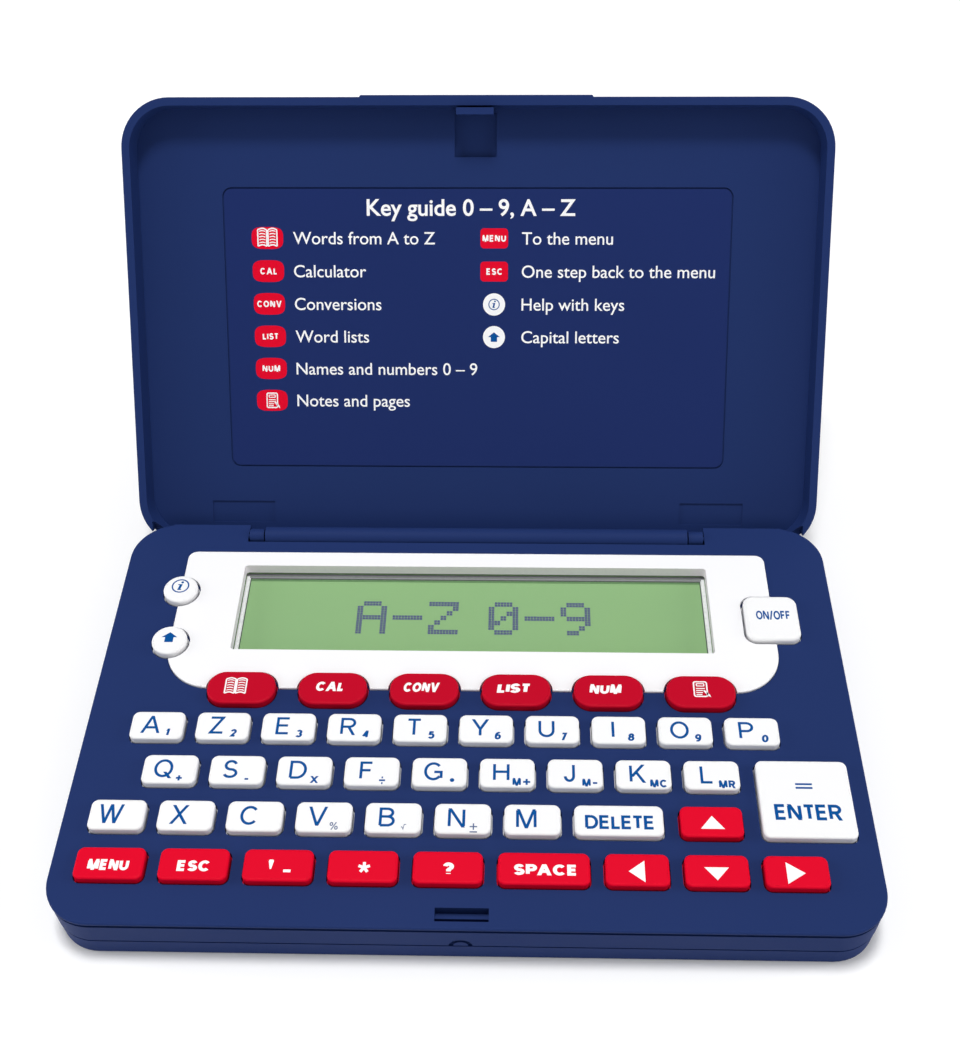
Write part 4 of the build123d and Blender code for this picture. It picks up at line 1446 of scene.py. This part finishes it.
@dataclass
class Studio:
    """Pale floor, soft lamps and the camera. Lengths in metres, unless a name ends in mm."""

    focal_px: float = 1393.9
    frame_height_px: float = 1047.0
    camera_mm: tuple[float, float, float] = (7.99, -146.29, 212.96)
    pitch_deg: float = 46.754
    yaw_deg: float = -2.165
    roll_deg: float = 1.187
    floor_half: float = 1.5
    floor_glow: float = 0.05
    glow_start: float = 0.2
    glow_end: float = 0.9
    floor_drop: float = 0.00002
    fill: float = 0.22
    sensor_mm: float = 36.0
    nearest: float = 0.01
    lamps: tuple[Lamp, ...] = (
        Lamp("overhead", (-0.03, 0.06, 1.55), (0.0, 0.0, 0.0), 0.3, 14.0),
        Lamp("front_fill", (0.1, -0.9, 0.4), (0.0, 0.0, 0.0), 0.6, 1.5),
        Lamp("left_fill", (-0.9, 0.0, 0.35), (0.0, 0.0, 0.03), 0.5, 3.0),
        Lamp("right_fill", (0.9, 0.0, 0.35), (0.0, 0.0, 0.03), 0.5, 3.0))

    def camera(self) -> None:
        """Places the camera: roll · pitch · yaw applied to a level view along +Y."""
        level = Matrix(((1, 0, 0), (0, 0, 1), (0, -1, 0)))
        yaw = Matrix.Rotation(math.radians(self.yaw_deg), 3, "Y")
        pitch = Matrix.Rotation(math.radians(self.pitch_deg), 3, "X")
        roll = Matrix.Rotation(math.radians(self.roll_deg), 3, "Z")
        turn = (roll @ pitch @ yaw @ level).transposed()
        data = bpy.data.cameras.new("camera")
        data.sensor_fit = "VERTICAL"
        data.sensor_height = self.sensor_mm
        data.lens = self.focal_px / self.frame_height_px * self.sensor_mm
        data.clip_start = self.nearest
        camera = bpy.data.objects.new("camera", data)
        camera.matrix_world = Matrix.Translation(Vector(self.camera_mm) * MM) @ turn.to_4x4()
        bpy.context.scene.collection.objects.link(camera)
        bpy.context.scene.camera = camera

    def light(self, lamp: Lamp) -> None:
        """Hangs one lamp and turns its face, the local -Z, to its target.

        Args:
            lamp: The lamp.
        """
        data = bpy.data.lights.new(lamp.name, "AREA")
        data.size = lamp.size
        data.energy = lamp.power
        hung = bpy.data.objects.new(lamp.name, data)
        direction = Vector(lamp.target) - Vector(lamp.place)
        hung.rotation_euler = direction.to_track_quat("-Z", "Y").to_euler()
        hung.location = lamp.place
        bpy.context.scene.collection.objects.link(hung)

    @staticmethod
    def looking(tree: bpy.types.NodeTree) -> bpy.types.NodeSocket:
        """Tells the rays that show the background from the ones that carry light.

        Args:
            tree: The node tree of the floor or the world.

        Returns:
            A socket that is 1 on a camera, glossy or transmission ray and 0 on any other.
        """
        path = add_node(tree, "ShaderNodeLightPath")
        seen = path.outputs["Is Camera Ray"]
        for kind in ("Is Glossy Ray", "Is Transmission Ray"):
            seen = add_node(tree, "ShaderNodeMath", {0: seen, 1: path.outputs[kind]},
                            operation="MAXIMUM").outputs[0]
        return seen

    def floor(self) -> None:
        """Lays a matt white floor that keeps the soft shadow and shows white to the camera far out.

        What the camera sees is lifted by a glow that rises in a straight line, from its value near
        the object to 1 far out, between two distances from the object.
        """
        half = self.floor_half
        mesh = bpy.data.meshes.new("floor")
        mesh.from_pydata([(-half, -half, 0), (half, -half, 0), (half, half, 0), (-half, half, 0)],
                         [], [(0, 1, 2, 3)])
        made, tree, place = started("white_paper_sweep")
        paper = add_node(tree, "ShaderNodeBsdfDiffuse", {"Color": WHITE})
        away = add_node(tree, "ShaderNodeVectorMath", {0: place}, operation="LENGTH")
        rise = add_node(tree, "ShaderNodeMapRange", {
            "Value": away.outputs["Value"], "From Min": self.glow_start, "From Max": self.glow_end,
            "To Min": self.floor_glow, "To Max": 1.0})
        seen = add_node(tree, "ShaderNodeMath", {
            0: self.looking(tree), 1: rise.outputs["Result"]}, operation="MULTIPLY")
        glow = add_node(tree, "ShaderNodeEmission", {"Color": WHITE, "Strength": seen.outputs[0]})
        both = add_node(tree, "ShaderNodeAddShader", {0: paper.outputs[0], 1: glow.outputs[0]})
        add_node(tree, "ShaderNodeOutputMaterial", {"Surface": both.outputs[0]})
        mesh.materials.append(made)
        floor = bpy.data.objects.new("floor", mesh)
        floor.location.z = -self.floor_drop
        bpy.context.scene.collection.objects.link(floor)

    def world(self) -> None:
        """Lights everything softly from all round, and shows plain white as a background."""
        world = bpy.data.worlds.new("studio")
        world.use_nodes = True
        tree = world.node_tree
        tree.nodes.clear()
        fill = add_node(tree, "ShaderNodeBackground", {"Color": WHITE, "Strength": self.fill})
        white = add_node(tree, "ShaderNodeBackground", {"Color": WHITE, "Strength": 1.0})
        mixed = add_node(tree, "ShaderNodeMixShader", {
            0: self.looking(tree), 1: fill.outputs[0], 2: white.outputs[0]})
        add_node(tree, "ShaderNodeOutputWorld", {"Surface": mixed.outputs[0]})
        bpy.context.scene.world = world

    def build(self) -> None:
        """Sets up the whole studio."""
        self.world()
        self.floor()
        for lamp in self.lamps:
            self.light(lamp)
        self.camera()
        bpy.context.scene.view_settings.view_transform = "Standard"


def main() -> None:
    """Builds the dictionary's looks in order and reports each piece."""
    logging.basicConfig(level=logging.INFO, format="%(name)s: %(message)s")
    wardrobe = Wardrobe()
    workshop = Workshop(wardrobe)
    press = Press()
    signs = Pictograms(press)
    Housing(wardrobe).dress()
    KeyLegends(workshop, press, signs).build()
    LegendPlatePrint(workshop, press, signs).build()
    Display(workshop, press).build()
    Studio().build()
    for name in workshop.made:
        log.info("made %s", name)


if __name__ == "__main__":
    main()
